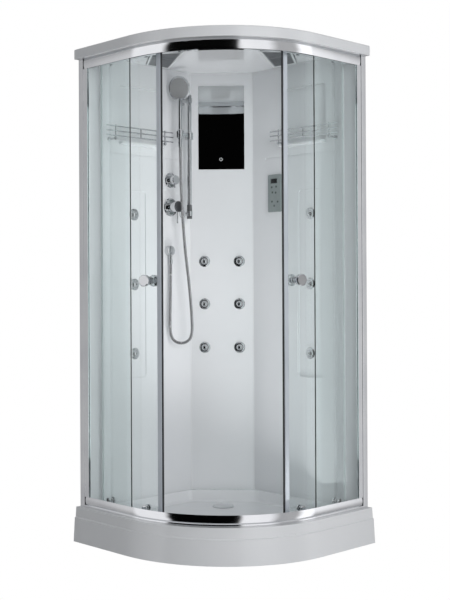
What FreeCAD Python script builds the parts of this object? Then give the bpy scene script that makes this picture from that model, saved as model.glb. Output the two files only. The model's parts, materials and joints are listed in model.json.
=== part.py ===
"""Quadrant steam shower cabin with two curved sliding doors.

Frame: millimetres, +Z up. The origin lies on the floor under the middle of the
bounding box. The back corner of the cabin is at +Y, the curved doors face -Y,
and X = 0 is the plane of symmetry. The doors stand open, as in use.

Plan coordinates: t runs along a side wall from the back corner, o is the
distance from that wall's outer plane, and d is the distance inwards from the
front outline (straight return, arc, straight return).
"""
import FreeCAD
import Part
import math
import os

V = FreeCAD.Vector
up = V(0, 0, 1)
root2 = math.sqrt(2.0)

# Driving dimensions, in millimetres and degrees.
leg = 900.0                    # side wall, from the back corner to its front end
front_radius = 550.0           # radius of the curved front
total_height = 2130.0
ceiling_sink = 22.0            # ceiling, below the roof's top
ceiling_z = total_height - ceiling_sink

rim_z = 150.0                  # top of the tray rim
ledge_z = 138.0                # lower ledge that carries the wall panels
ledge_width = 60.0
floor_z = 100.0                # shower floor
shell = 5.0                    # wall of the acrylic mouldings
skirt_flare = 15.0             # how far the skirt's foot stands out
skirt_gap = 2.0                # daylight under the skirt
step_z = 104.0                 # step in the skirt
step_height = 10.0
upper_flare = 3.0
step_flare = 8.5
basin_front = 95.0
basin_side = 64.0
basin_back = 250.0             # distance of the basin from the back corner, on the diagonal
basin_draft = 12.0
basin_corner = 45.0
basin_fillet = 14.0

roof_edge = 43.0               # height of the roof's fascia
roof_round = 6.0
roof_lip = 40.0                # raised border round the sunken top
roof_plate = 6.0

wall_face = 30.0               # room side of the wall panels, from the outer plane
wall_back = 5.0
centre_face = 190.0            # centre panel, from the back corner on the diagonal
niche_start = 425.0
niche_end = 675.0
niche_high = ceiling_z - 108.0  # heights on the walls hang from the ceiling
niche_low = niche_high - 265.0
niche_depth = 20.0
niche_corner = 18.0
shelf_reach = 34.0
shelf_lip = 12.0
shelf_round = 14.0
recess_start = 518.0
recess_end = 650.0
recess_high = ceiling_z - 573.0
recess_low = recess_high - 845.0
recess_depth = 5.0
groove_z = niche_low - 47.0
groove_height = 8.0
groove_depth = 2.5
groove_start = 320.0
groove_end = 730.0

mirror_width = 216.0
mirror_height = 393.0
mirror_z = ceiling_z - 258.5
mirror_thick = 4.0
mirror_seat = 2.0              # how deep the mirror sits in the panel

rail_height = 45.0
rail_front = 20.0              # front face of both rails, from the outline
rail_back = 49.0
rail_wall = 2.5
rail_bulge = 2.0               # how far the front face bows out
pocket_front = 23.5            # pocket of the fixed glass, from the outline
pocket_back = 31.0
rail_rib = 2.0
ledge_drop = 15.0              # guide ledge below the bottom rail's top

glass_thick = 6.0
fixed_centre = 27.25           # centre of the fixed glass, from the outline
fixed_short = 11.0             # fixed glass ends this far before the bend
glass_in_rail = 12.0
post_side = 5.0                # wall post, from the wall's outer plane
post_width = 31.0
post_front = 18.0
post_back = 50.0
post_wall = 2.0
clip_width = 26.0              # channel that holds the fixed glass
clip_front = 20.5
clip_back = 34.0
clip_grip = 20.0

door_offset = 67.0             # centre of the door glass, from the outline
door_gap = 0.4                 # half the gap between the closed magnet seals
magnet_width = 5.0
magnet_depth = 10.0
stile_width = 19.0
stile_depth = 16.0
stile_grip = 12.0
rear_overlap = 6.0             # degrees that the closed door reaches past the arc's end
open_gap = 38.0                # from the open door's rear edge to the wall's outer plane
rear_seal_width = 16.0
rear_seal_depth = 12.0
rear_seal_grip = 8.0
lead_inset = 79.0              # leading carrier, from the leading edge
rear_inset = 130.0             # trailing carrier, from the trailing edge
wheel_radius = 13.0
wheel_width = 7.0
wheel_offset = 47.0            # centre of the wheels, from the outline
axle_radius = 3.0
axle_end = 0.5                 # how far an axle stands out of its wheel
boss_radius = 6.0              # carriers' bosses through the glass
flange_radius = 14.0           # carriers' flanges on the glass
running_clearance = 0.05
knob_inset = 63.0
knob_stop_gap = 10.0           # least gap from the open door's knob to the fixed glass
knob_z = 1125.0
knob_face_radius = 24.0
knob_base_radius = 17.0
stem_radius = 5.0              # stud that joins the two pulls
knob_reach = 45.0

jet_t = 584.0
side_jet_heights = tuple(recess_high - drop for drop in (109.0, 424.0, 736.0))
back_jet_heights = tuple(recess_high - drop for drop in (316.0, 517.0, 722.0))
back_jet_x = 82.0
jet_radius = 26.0
jet_ball = 19.0
jet_collar = 5.0
jet_body = 21.0
jet_tail = 12.0
jet_hole = 3.0
jet_stop = -4.5                # bottom of the nozzle's seat, from the panel's face
ball_sink = 6.0                # centre of the nozzle's ball, behind the panel's face
jet_back = 17.0                # tail of the jet, behind the ball's centre
fit_gap = 0.3

riser_t = 292.0
riser_o = 80.0
riser_radius = 11.0
riser_high = ceiling_z - 115.0
riser_low = riser_high - 578.0
bracket_high = riser_high - 26.0
bracket_low = riser_low + 25.0
bracket_radius = 9.0
slider_z = riser_high - 193.0
slider_height = 34.0
slider_radius = 19.0
arm_turn = 30.0                # arm direction, degrees left of straight ahead
arm_reach = 80.0
pivot_reach = 40.0
tongue_width = 12.0
cheek_width = 4.0
cradle_radius = 17.0
handle_radius = 11.0
cradle_slot = 20.0
handle_length = 165.0
head_rise = 212.0
head_radius = 57.0
head_depth = 20.0
head_tilt = 12.0
nut_length = 60.0
hose_diameter = 14.0
hose_gap = 0.5                 # between the hose's end faces and its fittings

valve_t = 367.0
diverter_z = recess_high + 59.0
mixer_z = diverter_z - 125.0
diverter_plate = 35.0
mixer_plate = 42.0
plate_thick = 7.0
diverter_radius = 21.0
diverter_reach = 71.0
diverter_lever = (30.0, 12.0)  # place along the knob and length of its pin
mixer_radius = 25.0
mixer_reach = 90.0
mixer_lever = (48.0, 48.0)
lever_radius = 2.5
spindle_radius = 8.0
elbow_t = 380.0
elbow_z = mixer_z - 203.0
elbow_o = 45.0
elbow_low = elbow_z - 61.0
elbow_radius = 24.0
elbow_reach = 25.0

panel_t = 380.5
panel_z = recess_high - 5.5
panel_width = 79.0
panel_height = 173.0
panel_thick = 8.0
display_t = 378.5
display_z = panel_z + 56.25
display_width = 36.0
display_height = 19.5

rod_o = 80.0
rod_centre = 589.0
rod_length = 388.0
rod_radius = 3.0
rod_heights = tuple(niche_low + rise for rise in (29.0, 50.0, 71.0))
ball_spread = 144.0
ball_radius = 8.0
ball_z = niche_low + 17.0
rod_arm_radius = 4.5
rod_foot_radius = 9.0
rod_foot_thick = 3.0
rod_foot_o = 50.0              # foot that stands on the shelf

drain_depth = 378.0            # waste, from the back corner on the diagonal
drain_radius = 49.0
waste_radius = 44.0
waste_z = 52.0                 # axis of the waste's spigot
spigot_radius = 20.0
spigot_collar = 3.0
spigot_root = 308.0            # depth at which the spigot leaves its collar
spigot_length = 60.0
pipe_notch = 45.0              # half width of the tray's notch for the drain pipe

frame_tube = 25.0
frame_near = 340.0
frame_far = 890.0
frame_half = 200.0
cross_depths = (490.0, 760.0)
cross_half = 325.0
foot_stud = 5.0
foot_pad = 20.0

manifold_back = 15.0           # valve body and pipe ends, from the wall's outer plane
valve_half = 14.0              # half width of the valve body
pipe_o = 8.0
pipe_radius = 5.5
pipe_socket = 7.5
feed_z = recess_low - 50.0
supply_o = 12.0
supply_zs = (diverter_z - 74.0, mixer_z - 9.0)    # hot and cold
supply_turn = 180.0            # bend of the supplies, along the left wall
inlet_x = -40.0
inlet_depth = 100.0            # root of the inlets' threads, from the back corner
nipple_radius = 10.475         # outside of a G1/2 male thread
nipple_length = 14.0

generator_half = 68.0
generator_depth = 85.0
generator_low = rim_z + 40.0
generator_high = feed_z - 150.0
neck_x = 30.0
neck_z = generator_high - 40.0
neck_radius = 11.0
neck_length = 40.0

fan_x = 250.0
fan_depth = 515.0              # ceiling fittings, from the back corner
fan_radius = 50.0
fan_blades = 5
grille_corners = ((238.0, 342.0), (340.0, 430.0), (300.0, 672.0), (160.0, 690.0))    # x and depth
grille_thick = 7.0
grille_margin = 16.0
grille_round = 12.0
slot_width = 5.0
slot_pitch = 12.0

# Derived sizes and places.
straight = leg - front_radius
arc_depth = straight * root2
front_reach = arc_depth + front_radius
corner_y = 0.5 * (front_reach + skirt_flare)
corner = V(0, corner_y, 0)
arc_centre = V(0, corner_y - arc_depth, 0)
fascia_z = total_height - roof_edge
roof_skirt = post_back - fit_gap
frame_top = floor_z - shell
top_rail_low = fascia_z - rail_height
bottom_rail_high = rim_z + rail_height
glass_low = rim_z + glass_in_rail
glass_high = fascia_z - glass_in_rail
door_radius = front_radius - door_offset
wall_start = centre_face * root2 - wall_face
panel_depth = (wall_face - wall_back) / root2
wheel_top_z = top_rail_low + rail_wall + wheel_radius
wheel_low_z = bottom_rail_high - ledge_drop + wheel_radius
wall_place = FreeCAD.Matrix()
wall_place.rotateZ(math.radians(-45.0))
wall_place.move(corner)


def in_wall(shape):
    """Carry a shape from wall coordinates (t, -o, z) to the right-hand wall."""
    return shape.transformed(wall_place)


def mirrored(shape):
    return shape.mirror(V(0, 0, 0), V(1, 0, 0))


def wall_point(t, o, z=0.0):
    return V((t - o) / root2, corner_y - (t + o) / root2, z)


def at_depth(x, depth, z):
    return V(x, corner_y - depth, z)


def block(t0, t1, o0, o1, z0, z1):
    return Part.makeBox(t1 - t0, o1 - o0, z1 - z0, V(t0, -o1, z0))


def outline_face(d_front, d_wall, z, back=0.0):
    """Plan outline inset from front and walls, with its back corner cut at depth back."""
    reach = leg - d_front
    middle = straight + (front_radius - d_front) / root2
    right = wall_point(reach, straight, z)
    left = wall_point(straight, reach, z)
    arc = Part.Arc(right, wall_point(middle, middle, z), left).toShape()
    start = [wall_point(d_wall, d_wall, z)]
    if back > 0.0:
        cut = back * root2 - d_wall
        start = [wall_point(d_wall, cut, z), wall_point(cut, d_wall, z)]
    first = start + [wall_point(reach, d_wall, z), right]
    last = [left, wall_point(d_wall, reach, z), start[0]]
    edges = [Part.makeLine(a, b) for a, b in zip(first, first[1:])]
    edges.append(arc)
    edges += [Part.makeLine(a, b) for a, b in zip(last, last[1:])]
    return Part.Face(Part.Wire(edges))


def prism(d_front, d_wall, z0, z1, back=0.0):
    return outline_face(d_front, d_wall, z0, back).extrude(V(0, 0, z1 - z0))


def front_band(points, o_start):
    """Run a profile of (d, z) points along the front. A triple adds an arc's middle point."""
    def place(p):
        return V(leg - p[0], -o_start, p[1])

    edges = []
    for index, point in enumerate(points):
        following = points[(index + 1) % len(points)]
        if len(point) == 4:
            bow = place(point[2:])
            edges.append(Part.Arc(place(point), bow, place(following)).toShape())
        else:
            edges.append(Part.makeLine(place(point), place(following)))
    face = Part.Face(Part.Wire(edges))
    run = V(0, o_start - straight, 0)
    side = face.extrude(run)
    face.translate(run)
    bend = face.revolve(V(straight, -straight, 0), up, -90.0)
    side = in_wall(side)
    return side.fuse([in_wall(bend), mirrored(side)]).removeSplitter()


def ring_point(radius, angle, z):
    """Point on a circle round the arc centre; angle 0 is straight ahead."""
    a = math.radians(angle)
    return arc_centre + V(radius * math.sin(a), -radius * math.cos(a), z)


def arc_band(r0, r1, a0, a1, z0, z1):
    corners = [ring_point(r, a0, z0) for r in (r0, r1)]
    corners += [p + V(0, 0, z1 - z0) for p in reversed(corners)]
    face = Part.Face(Part.makePolygon(corners + corners[:1]))
    return face.revolve(arc_centre, up, a1 - a0)


def turned(points, base, axis):
    """Body of revolution from (radius, height) points about an axis through base."""
    ring = [V(r, 0, h) for r, h in points]
    face = Part.Face(Part.makePolygon(ring + ring[:1]))
    solid = face.revolve(V(0, 0, 0), up, 360.0)
    solid.Placement = FreeCAD.Placement(base, FreeCAD.Rotation(up, axis))
    return solid


def dome(radius, low, high, steps):
    """Points of a ball's outline between two heights, as (radius, height)."""
    first = math.asin(max(-1.0, low / radius))
    last = math.asin(min(1.0, high / radius))
    angles = [first + (last - first) * k / steps for k in range(steps + 1)]
    return [(radius * math.cos(a), radius * math.sin(a)) for a in angles]


def ball(radius, centre, axis):
    points = dome(radius, -radius, radius, 8)
    points[0] = (0, -radius)
    points[-1] = (0, radius)
    return turned(points, centre, axis)


def rod(radius, start, end):
    return Part.makeCylinder(radius, start.distanceToPoint(end), start, end - start)


def arc_degrees(length, radius):
    return math.degrees(length / radius)


def rotated(shape, centre, axis, angle):
    copy = shape.copy()
    copy.rotate(centre, axis, angle)
    return copy


# Tray and what stands under it.
def basin(grow, z_low):
    """Dished space of the tray, grown outwards by the wall of the moulding."""
    def rounded(extra, z):
        face = outline_face(basin_front - extra, basin_side - extra, z, basin_back - extra)
        return face.makeOffset2D(-basin_corner).makeOffset2D(basin_corner)

    lower = rounded(grow - basin_draft, z_low)
    upper = rounded(grow, rim_z + 1.0)
    solid = Part.makeLoft([lower.OuterWire, upper.OuterWire], True, True)
    rim = [e for e in solid.Edges if e.BoundBox.ZMax < z_low + 0.01]
    return solid.makeFillet(basin_fillet, rim)


def tray():
    skirt = [(40, rim_z), (0, rim_z),
             (-upper_flare, step_z + step_height, -upper_flare - 1.5, step_z + 3.0),
             (-step_flare, step_z), (-skirt_flare, skirt_gap), (40, skirt_gap)]
    body = prism(0, 0, skirt_gap, rim_z).fuse(front_band(skirt, 0.0))
    hollow = prism(shell + 1.0, shell + 1.0, 0.0, ledge_z - shell).cut(basin(shell, floor_z - shell))
    inner = [(shell + 2.0, ledge_z - shell), (shell - step_flare, step_z - shell),
             (shell - skirt_flare, 0.0), (40, 0.0), (40, ledge_z - shell)]
    hollow = hollow.fuse(front_band(inner, shell + 1.0))
    body = body.cut(hollow).cut(basin(0.0, floor_z))
    ledge = in_wall(block(-1.0, leg - post_back, -1.0, ledge_width, ledge_z, rim_z + 1.0))
    reach = centre_face + ledge_width - wall_face
    corner_ledge = Part.makeBox(2 * reach, reach + 1.0, rim_z + 1.0 - ledge_z,
                                at_depth(-reach, reach, ledge_z))
    body = body.cut(ledge).cut(mirrored(ledge)).cut(corner_ledge)
    deep = pipe_notch + 20.0
    notch = Part.makeBox(2 * pipe_notch, deep + 1.0, waste_z + 40.0, at_depth(-pipe_notch, deep, 0.0))
    drain = Part.makeCylinder(waste_radius + fit_gap, 40.0, at_depth(0, drain_depth, floor_z - 20.0))
    return body.cut(notch).cut(drain)


def frame_feet_places():
    inset = frame_tube / 2.0
    places = [(s * frame_half, d) for s in (-1, 1) for d in (frame_near + inset, frame_far - inset)]
    return places + [(s * (cross_half - inset), d) for s in (-1, 1) for d in cross_depths]


def tray_frame():
    z = frame_top - frame_tube
    half = frame_tube / 2
    length = frame_far - frame_near
    bars = []
    for side in (-1, 1):
        start = at_depth(side * frame_half - half, frame_far, z)
        bars.append(Part.makeBox(frame_tube, length, frame_tube, start))
    for depth in cross_depths:
        start = at_depth(-cross_half, depth + half, z)
        bars.append(Part.makeBox(2 * cross_half, frame_tube, frame_tube, start))
    frame = bars[0].fuse(bars[1:]).removeSplitter()
    for x, depth in frame_feet_places():
        start = at_depth(x, depth, z - 1.0)
        frame = frame.cut(Part.makeCylinder(foot_stud + fit_gap, frame_tube + 2.0, start))
    return frame


def levelling_feet():
    profile = [(0, 0), (foot_pad, 0), (foot_pad, 4), (9, 9), (foot_stud, 9), (foot_stud, 56),
               (9, 56), (9, 62), (9, frame_top - frame_tube), (foot_stud, frame_top - frame_tube),
               (foot_stud, frame_top - 2), (0, frame_top - 2)]
    return Part.makeCompound([turned(profile, at_depth(x, d, 0), up) for x, d in frame_feet_places()])


def waste_trap():
    base = at_depth(0, drain_depth, 0)
    lip = drain_radius + 3.0
    cup = [(0, 22), (46, 22), (50, 28), (50, frame_top - 12), (lip, frame_top - 8), (lip, frame_top),
           (waste_radius, frame_top), (waste_radius, floor_z), (38, floor_z), (38, 30), (0, 30)]
    body = turned(cup, base, up)
    inside = at_depth(0, drain_depth - 36.0, waste_z)
    start = at_depth(0, drain_depth - 44.0, waste_z)
    root = at_depth(0, spigot_root, waste_z)
    end = at_depth(0, spigot_root - spigot_length, waste_z)
    body = body.fuse([rod(spigot_radius + spigot_collar, start, root), rod(spigot_radius, start, end)])
    return body.cut(rod(spigot_radius - 2.0, inside, end + V(0, 1, 0)))


def drain_cover():
    base = at_depth(0, drain_depth, floor_z)
    disc = [(0, 0.3), (drain_radius, 0.3), (drain_radius, 2.0), (drain_radius - 4, 4.5), (0, 6.5)]
    plug = [(0, -14), (30, -14), (33, -11), (33, 1.0), (0, 1.0)]
    return turned(disc, base, up).fuse(turned(plug, base, up)).removeSplitter()


# Walls, roof and mirror.
def wall_blank():
    end = leg - post_back
    body = block(wall_start, end, wall_back, wall_face, ledge_z, ceiling_z)
    body = body.cut(block(wall_start - 1, end - shell, wall_back - 1, wall_face - shell,
                          ledge_z + shell, ceiling_z - shell))
    rise = wall_face - niche_depth - shell
    body = body.fuse(block(niche_start - shell, niche_end + shell, rise, wall_face,
                           niche_low - shell, niche_high + shell))
    pocket = block(niche_start, niche_end, wall_face - niche_depth, wall_face + 1, niche_low, niche_high)
    sharp = [e for e in pocket.Edges if abs(e.Vertexes[0].Y - e.Vertexes[1].Y) > niche_depth]
    body = body.cut(pocket.makeFillet(niche_corner, sharp))
    bed = block(recess_start - shell, recess_end + shell, wall_face - recess_depth - shell, wall_face,
                recess_low - shell, recess_high + shell)
    body = body.fuse(bed)
    pocket = block(recess_start, recess_end, wall_face - recess_depth, wall_face + 1,
                   recess_low, recess_high)
    sharp = [e for e in pocket.Edges if abs(e.Vertexes[0].Y - e.Vertexes[1].Y) > recess_depth]
    body = body.cut(pocket.makeFillet(niche_corner, sharp))
    groove = block(groove_start, groove_end, wall_face - groove_depth, wall_face + 1,
                   groove_z, groove_z + groove_height)
    body = body.cut(groove)
    points = [V(niche_start, -wall_face, niche_low - 1.0),
              V(niche_start, -wall_face - shelf_reach, niche_low + 4.0),
              V(niche_start, -wall_face - shelf_reach, niche_low + shelf_lip),
              V(niche_start, -wall_face, niche_low + shelf_lip),
              V(niche_start, -wall_face + niche_depth, niche_low + shelf_lip),
              V(niche_start, -wall_face + niche_depth, niche_low - 1.0)]
    shelf = Part.Face(Part.makePolygon(points + points[:1])).extrude(V(niche_end - niche_start, 0, 0))
    front = 1.0 - wall_face - shelf_reach
    edges = [e for e in shelf.Edges if e.BoundBox.YMax < front and e.BoundBox.ZLength > 1.0
             and e.BoundBox.XLength < 1.0]
    body = body.fuse(shelf.makeFillet(shelf_round, edges)).removeSplitter()
    return wall_holes(body, [(jet_t, z, jet_body) for z in side_jet_heights])


def wall_holes(body, holes):
    for t, z, radius in holes:
        body = body.cut(Part.makeCylinder(radius + fit_gap, 40.0, V(t, -wall_face - 5, z), V(0, 1, 0)))
    return body


def left_wall():
    holes = [(valve_t, diverter_z, spindle_radius + 4), (valve_t, mixer_z, spindle_radius + 4),
             (elbow_t, elbow_z, spindle_radius)]
    return mirrored(in_wall(wall_holes(wall_blank(), holes)))


def right_wall():
    return in_wall(wall_blank())


def centre_panel():
    half = centre_face - wall_face * root2
    back = centre_face - panel_depth
    wing = half + panel_depth
    plan = [(-half, centre_face), (half, centre_face), (wing, back), (-wing, back)]
    ring = [at_depth(x, depth, ledge_z) for x, depth in plan]
    body = Part.Face(Part.makePolygon(ring + ring[:1])).extrude(V(0, 0, ceiling_z - ledge_z))
    wide = half - shell
    hollow = Part.makeBox(2 * wide, panel_depth, ceiling_z - ledge_z - 2 * shell,
                          at_depth(-wide, centre_face - shell, ledge_z + shell))
    body = body.cut(hollow)
    seat = Part.makeBox(mirror_width + 2 * fit_gap, mirror_seat, mirror_height + 2 * fit_gap,
                        at_depth(-mirror_width / 2 - fit_gap, centre_face,
                                 mirror_z - mirror_height / 2 - fit_gap))
    body = body.cut(seat)
    for x in (-back_jet_x, back_jet_x):
        for z in back_jet_heights:
            start = at_depth(x, centre_face + 5, z)
            body = body.cut(Part.makeCylinder(jet_body + fit_gap, 60.0, start, V(0, 1, 0)))
    return body.cut(pipe_passages())


def pipe_passages():
    """Notches in the edges of the centre panel for the pipes that pass behind it."""
    def notch(o, z):
        half = pipe_radius + 1.0
        return in_wall(block(wall_start - 40.0, wall_start + 1.0, 0, o + half, z - half, z + half))

    feed = notch(pipe_o, feed_z)
    return [feed, mirrored(feed)] + [mirrored(notch(supply_o, z)) for z in supply_zs]


def mirror():
    low = mirror_z - mirror_height / 2
    return Part.makeBox(mirror_width, mirror_thick, mirror_height,
                        at_depth(-mirror_width / 2, centre_face + mirror_thick - mirror_seat, low))


def roof():
    body = prism(0, 0, fascia_z, total_height)
    edges = [e for e in body.Edges if e.BoundBox.ZMin > total_height - 0.01]
    body = body.makeFillet(roof_round, edges)
    body = body.cut(prism(roof_skirt, wall_back - fit_gap, fascia_z - 1, ceiling_z))
    body = body.cut(prism(roof_lip, roof_lip, ceiling_z + roof_plate, total_height + 1))
    for s in (-1, 1):
        start = at_depth(s * fan_x, fan_depth, ceiling_z - 5)
        body = body.cut(Part.makeCylinder(fan_radius + fit_gap, 60.0, start))
    return body


# Ceiling fittings.
def grille():
    low = ceiling_z - grille_thick
    ring = [at_depth(x, depth, low) for x, depth in grille_corners]
    body = Part.Face(Part.makePolygon(ring + ring[:1])).extrude(V(0, 0, grille_thick))
    upright = [e for e in body.Edges if e.BoundBox.ZLength > 1.0]
    body = body.makeFillet(grille_round, upright)
    face = Part.Face(Part.makePolygon(ring + ring[:1])).makeOffset2D(-grille_margin)
    window = face.extrude(V(0, 0, grille_thick))
    along = (ring[1] - ring[0]).normalize()
    across = V(-along.y, along.x, 0) * -1.0
    half = 260.0
    cutters = []
    count = int(320.0 / slot_pitch)
    for index in range(count):
        if index == count // 2 - 1:
            continue
        offset = grille_margin + index * slot_pitch
        start = ring[0] + across * offset - along * half - V(0, 0, 1)
        bar = Part.makeBox(2 * half, slot_width, grille_thick + 2)
        turn = FreeCAD.Rotation(V(1, 0, 0), along)
        bar.Placement = FreeCAD.Placement(start, turn)
        cutters.append(bar)
    return body.cut(Part.makeCompound(cutters).common(window))


def ceiling_grilles():
    right = grille()
    return Part.makeCompound([right, mirrored(right)])


def fan_housing():
    base = at_depth(-fan_x, fan_depth, ceiling_z)
    deep = total_height - ceiling_z
    inner = fan_radius - 3
    shroud = turned([(inner, 0), (fan_radius, 0), (fan_radius, deep), (inner, deep)], base, up)
    motor = Part.makeCylinder(15, 7, base + V(0, 0, deep - 7))
    shaft = Part.makeCylinder(axle_radius, deep - 5, base + V(0, 0, 2))
    body = shroud.fuse([motor, shaft])
    for k in range(3):
        arm = Part.makeBox(fan_radius - 12, 5, 4, base + V(10, -2.5, deep - 4))
        body = body.fuse(rotated(arm, base, up, 120.0 * k))
    return body.removeSplitter()


def fan_rotor():
    base = at_depth(-fan_x, fan_depth, ceiling_z + 2.5)
    hub_high = total_height - ceiling_z - 10.5
    bore = axle_radius + running_clearance
    rotor = turned([(bore, 0), (14, 0), (14, hub_high), (bore, hub_high)], base, up)
    for k in range(fan_blades):
        blade = Part.makeBox(fan_radius - 3 - 1.5 - 12, 26, 1.6, V(12, -13, -0.8))
        blade.rotate(V(0, 0, 0), V(1, 0, 0), 20.0)
        blade.translate(base + V(0, 0, hub_high / 2))
        ring = Part.makeCylinder(fan_radius - 4.5, 30, base - V(0, 0, 5))
        blade = rotated(blade.common(ring), base, up, 360.0 * k / fan_blades)
        rotor = rotor.fuse(blade)
    return rotor.cut(Part.makeCylinder(bore, 60, base - V(0, 0, 20)))


def speaker_driver():
    base = at_depth(fan_x, fan_depth, ceiling_z)
    rim = fan_radius
    profile = [(0, 14), (9, 14), (14, 11), (rim - 8, 1.5), (rim - 2, 1.5), (rim - 2, 0),
               (rim, 0), (rim, 2.5), (rim - 7, 4), (22, 15), (22, 17), (0, 17)]
    return turned(profile, base, up)


# Rails, posts and fixed glass.
def top_rail():
    """Front wall, glass pocket, rib, and a chamber open to the inside whose lip carries the wheels."""
    low = top_rail_low
    high = fascia_z
    front = rail_front + rail_bulge
    rib = pocket_back + rail_rib
    web = high - rail_wall
    lip = low + rail_wall
    profile = [(front, low, rail_front, (low + high) / 2), (front, high), (rail_back, high),
               (rail_back, web), (rib, web), (rib, lip), (rail_back, lip), (rail_back, low),
               (pocket_back, low), (pocket_back, web), (pocket_front, web), (pocket_front, low)]
    return front_band(profile, post_side + post_width + fit_gap)


def bottom_rail():
    """Sill with a foot flange, the glass pocket, and a lower ledge for the guide pucks."""
    low = rim_z
    high = bottom_rail_high
    foot = 12.0
    front = rail_front + rail_bulge
    rib = pocket_back + rail_rib
    track = high - ledge_drop
    floor = low + rail_wall
    inside = rail_back - rail_wall
    profile = [(front - 4.0, low), (front - 4.0, low + foot - 3.0),
               (front, low + foot, rail_front, (low + foot + high) / 2), (front, high),
               (pocket_front, high), (pocket_front, floor), (pocket_back, floor), (pocket_back, track),
               (rail_back, track), (rail_back, low), (inside, low), (inside, track - rail_wall),
               (rib, track - rail_wall), (rib, low)]
    return front_band(profile, post_side + post_width + fit_gap)


def jamb_profiles():
    """Wall posts, and the channels that hold the fixed glass."""
    end = post_side + post_width
    post = block(leg - post_back, leg - post_front, post_side, end, rim_z, fascia_z)
    upright = [e for e in post.Edges if e.BoundBox.ZLength > 100.0]
    post = post.makeFillet(3.0, upright)
    bore = block(leg - post_back + post_wall, leg - post_front - post_wall, post_side + post_wall,
                 end - post_wall, rim_z - 1, fascia_z + 1)
    post = post.cut(bore)
    channel = block(leg - clip_back, leg - clip_front, end, end + clip_width,
                    bottom_rail_high, top_rail_low)
    half = glass_thick / 2 + fit_gap
    slot = block(leg - fixed_centre - half, leg - fixed_centre + half, end + clip_width - clip_grip,
                 end + clip_width + 1, bottom_rail_high - 1, top_rail_low + 1)
    pair = [in_wall(post), in_wall(channel.cut(slot))]
    return Part.makeCompound(pair + [mirrored(s) for s in pair])


def fixed_glass_panels():
    half = glass_thick / 2
    start = post_side + post_width + clip_width - clip_grip + 1.0
    pane = in_wall(block(leg - fixed_centre - half, leg - fixed_centre + half, start, straight - fixed_short,
                         glass_low, glass_high))
    return Part.makeCompound([pane, mirrored(pane)])


# Doors: built closed on the right, then swung to the open place about the pole.
half_front = 45.0              # degrees from the middle of the front to the arc's end
door_span = half_front + rear_overlap
lead_angle = arc_degrees(door_gap, door_radius)
rear_stop = arc_degrees(straight - open_gap, door_radius) - rear_overlap
knob_stop = half_front - arc_degrees(knob_inset + knob_face_radius + knob_stop_gap, door_radius)
open_angle = min(rear_stop, knob_stop)    # the wall or the fixed pane, whichever stops the door first
stile_start = lead_angle + arc_degrees(magnet_width, door_radius)
stile_end = stile_start + arc_degrees(stile_width, door_radius)
glass_start = stile_end - arc_degrees(stile_grip, door_radius)
glass_end = door_span - arc_degrees(rear_seal_width - rear_seal_grip, door_radius)
carrier_angles = (lead_angle + arc_degrees(lead_inset, door_radius),
                  door_span - arc_degrees(rear_inset, door_radius))
knob_angle = lead_angle + arc_degrees(knob_inset, door_radius)


def track_point(angle):
    """Point of the door track: an arc at the front, then the straight return at the same pace."""
    if angle <= half_front:
        return ring_point(door_radius, angle, 0)
    past = door_radius * math.radians(angle - half_front)
    return wall_point(leg - door_offset, straight - past)


def door_pole():
    """Centre and angle of the turn that carries the closed door to its open place.

    Both carriers stand on the track at either end of the travel.
    """
    closed = [ring_point(door_radius, a, 0) for a in carrier_angles]
    lead_place = open_angle + carrier_angles[0] - lead_angle
    lead = track_point(lead_place)
    pitch = closed[1].distanceToPoint(closed[0])
    near, far = lead_place, lead_place + 2.0 * door_span
    for step in range(50):
        middle = 0.5 * (near + far)
        if track_point(middle).distanceToPoint(lead) < pitch:
            near = middle
        else:
            far = middle
    rear = track_point(near)
    before = closed[1] - closed[0]
    after = rear - lead
    angle = math.atan2(after.y, after.x) - math.atan2(before.y, before.x)
    middle = (closed[0] + lead) * 0.5
    chord = lead - closed[0]
    normal = V(-chord.y, chord.x, 0)
    pole = middle + normal * (0.5 / math.tan(angle / 2))
    return pole, math.degrees(angle)


pole, door_turn = door_pole()


def hung(shape):
    return rotated(shape, pole, up, door_turn)


def hollow_rise(half_width):
    """How far the hollow side of the curved glass rises over a flat base."""
    return half_width ** 2 / (2.0 * (door_radius - glass_thick / 2)) + 0.01


def door_glass():
    half = glass_thick / 2
    pane = arc_band(door_radius - half, door_radius + half, glass_start, glass_end, glass_low, glass_high)
    for angle, z, radius in carrier_places() + [(knob_angle, knob_z, stem_radius)]:
        ends = [ring_point(door_radius + side, angle, z) for side in (-10, 10)]
        pane = pane.cut(rod(radius + fit_gap, ends[0], ends[1]))
    return hung(pane)


def carrier_places():
    return [(a, z, boss_radius) for a in carrier_angles for z in (wheel_top_z, wheel_low_z)]


def door_stile():
    outer = arc_band(door_radius - stile_depth / 2, door_radius + stile_depth / 2, stile_start, stile_end,
                     glass_low, glass_high)
    upright = [e for e in outer.Edges if e.BoundBox.ZLength > 100.0]
    outer = outer.makeFillet(3.0, upright)
    half = glass_thick / 2 + fit_gap
    slot = arc_band(door_radius - half, door_radius + half, glass_start - 0.05, stile_end + 1.0,
                    glass_low - 1, glass_high + 1)
    return hung(outer.cut(slot))


def magnet_seal():
    """Bulb of the magnetic seal, with a tongue in the middle of the stile's face."""
    bar = arc_band(door_radius - magnet_depth / 2, door_radius + magnet_depth / 2, lead_angle, stile_start,
                   glass_low, glass_high)
    lead = [e for e in bar.Edges if e.BoundBox.ZLength > 100.0 and e.BoundBox.XMin < magnet_width / 2]
    return hung(bar.makeFillet(2.5, lead))


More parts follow.
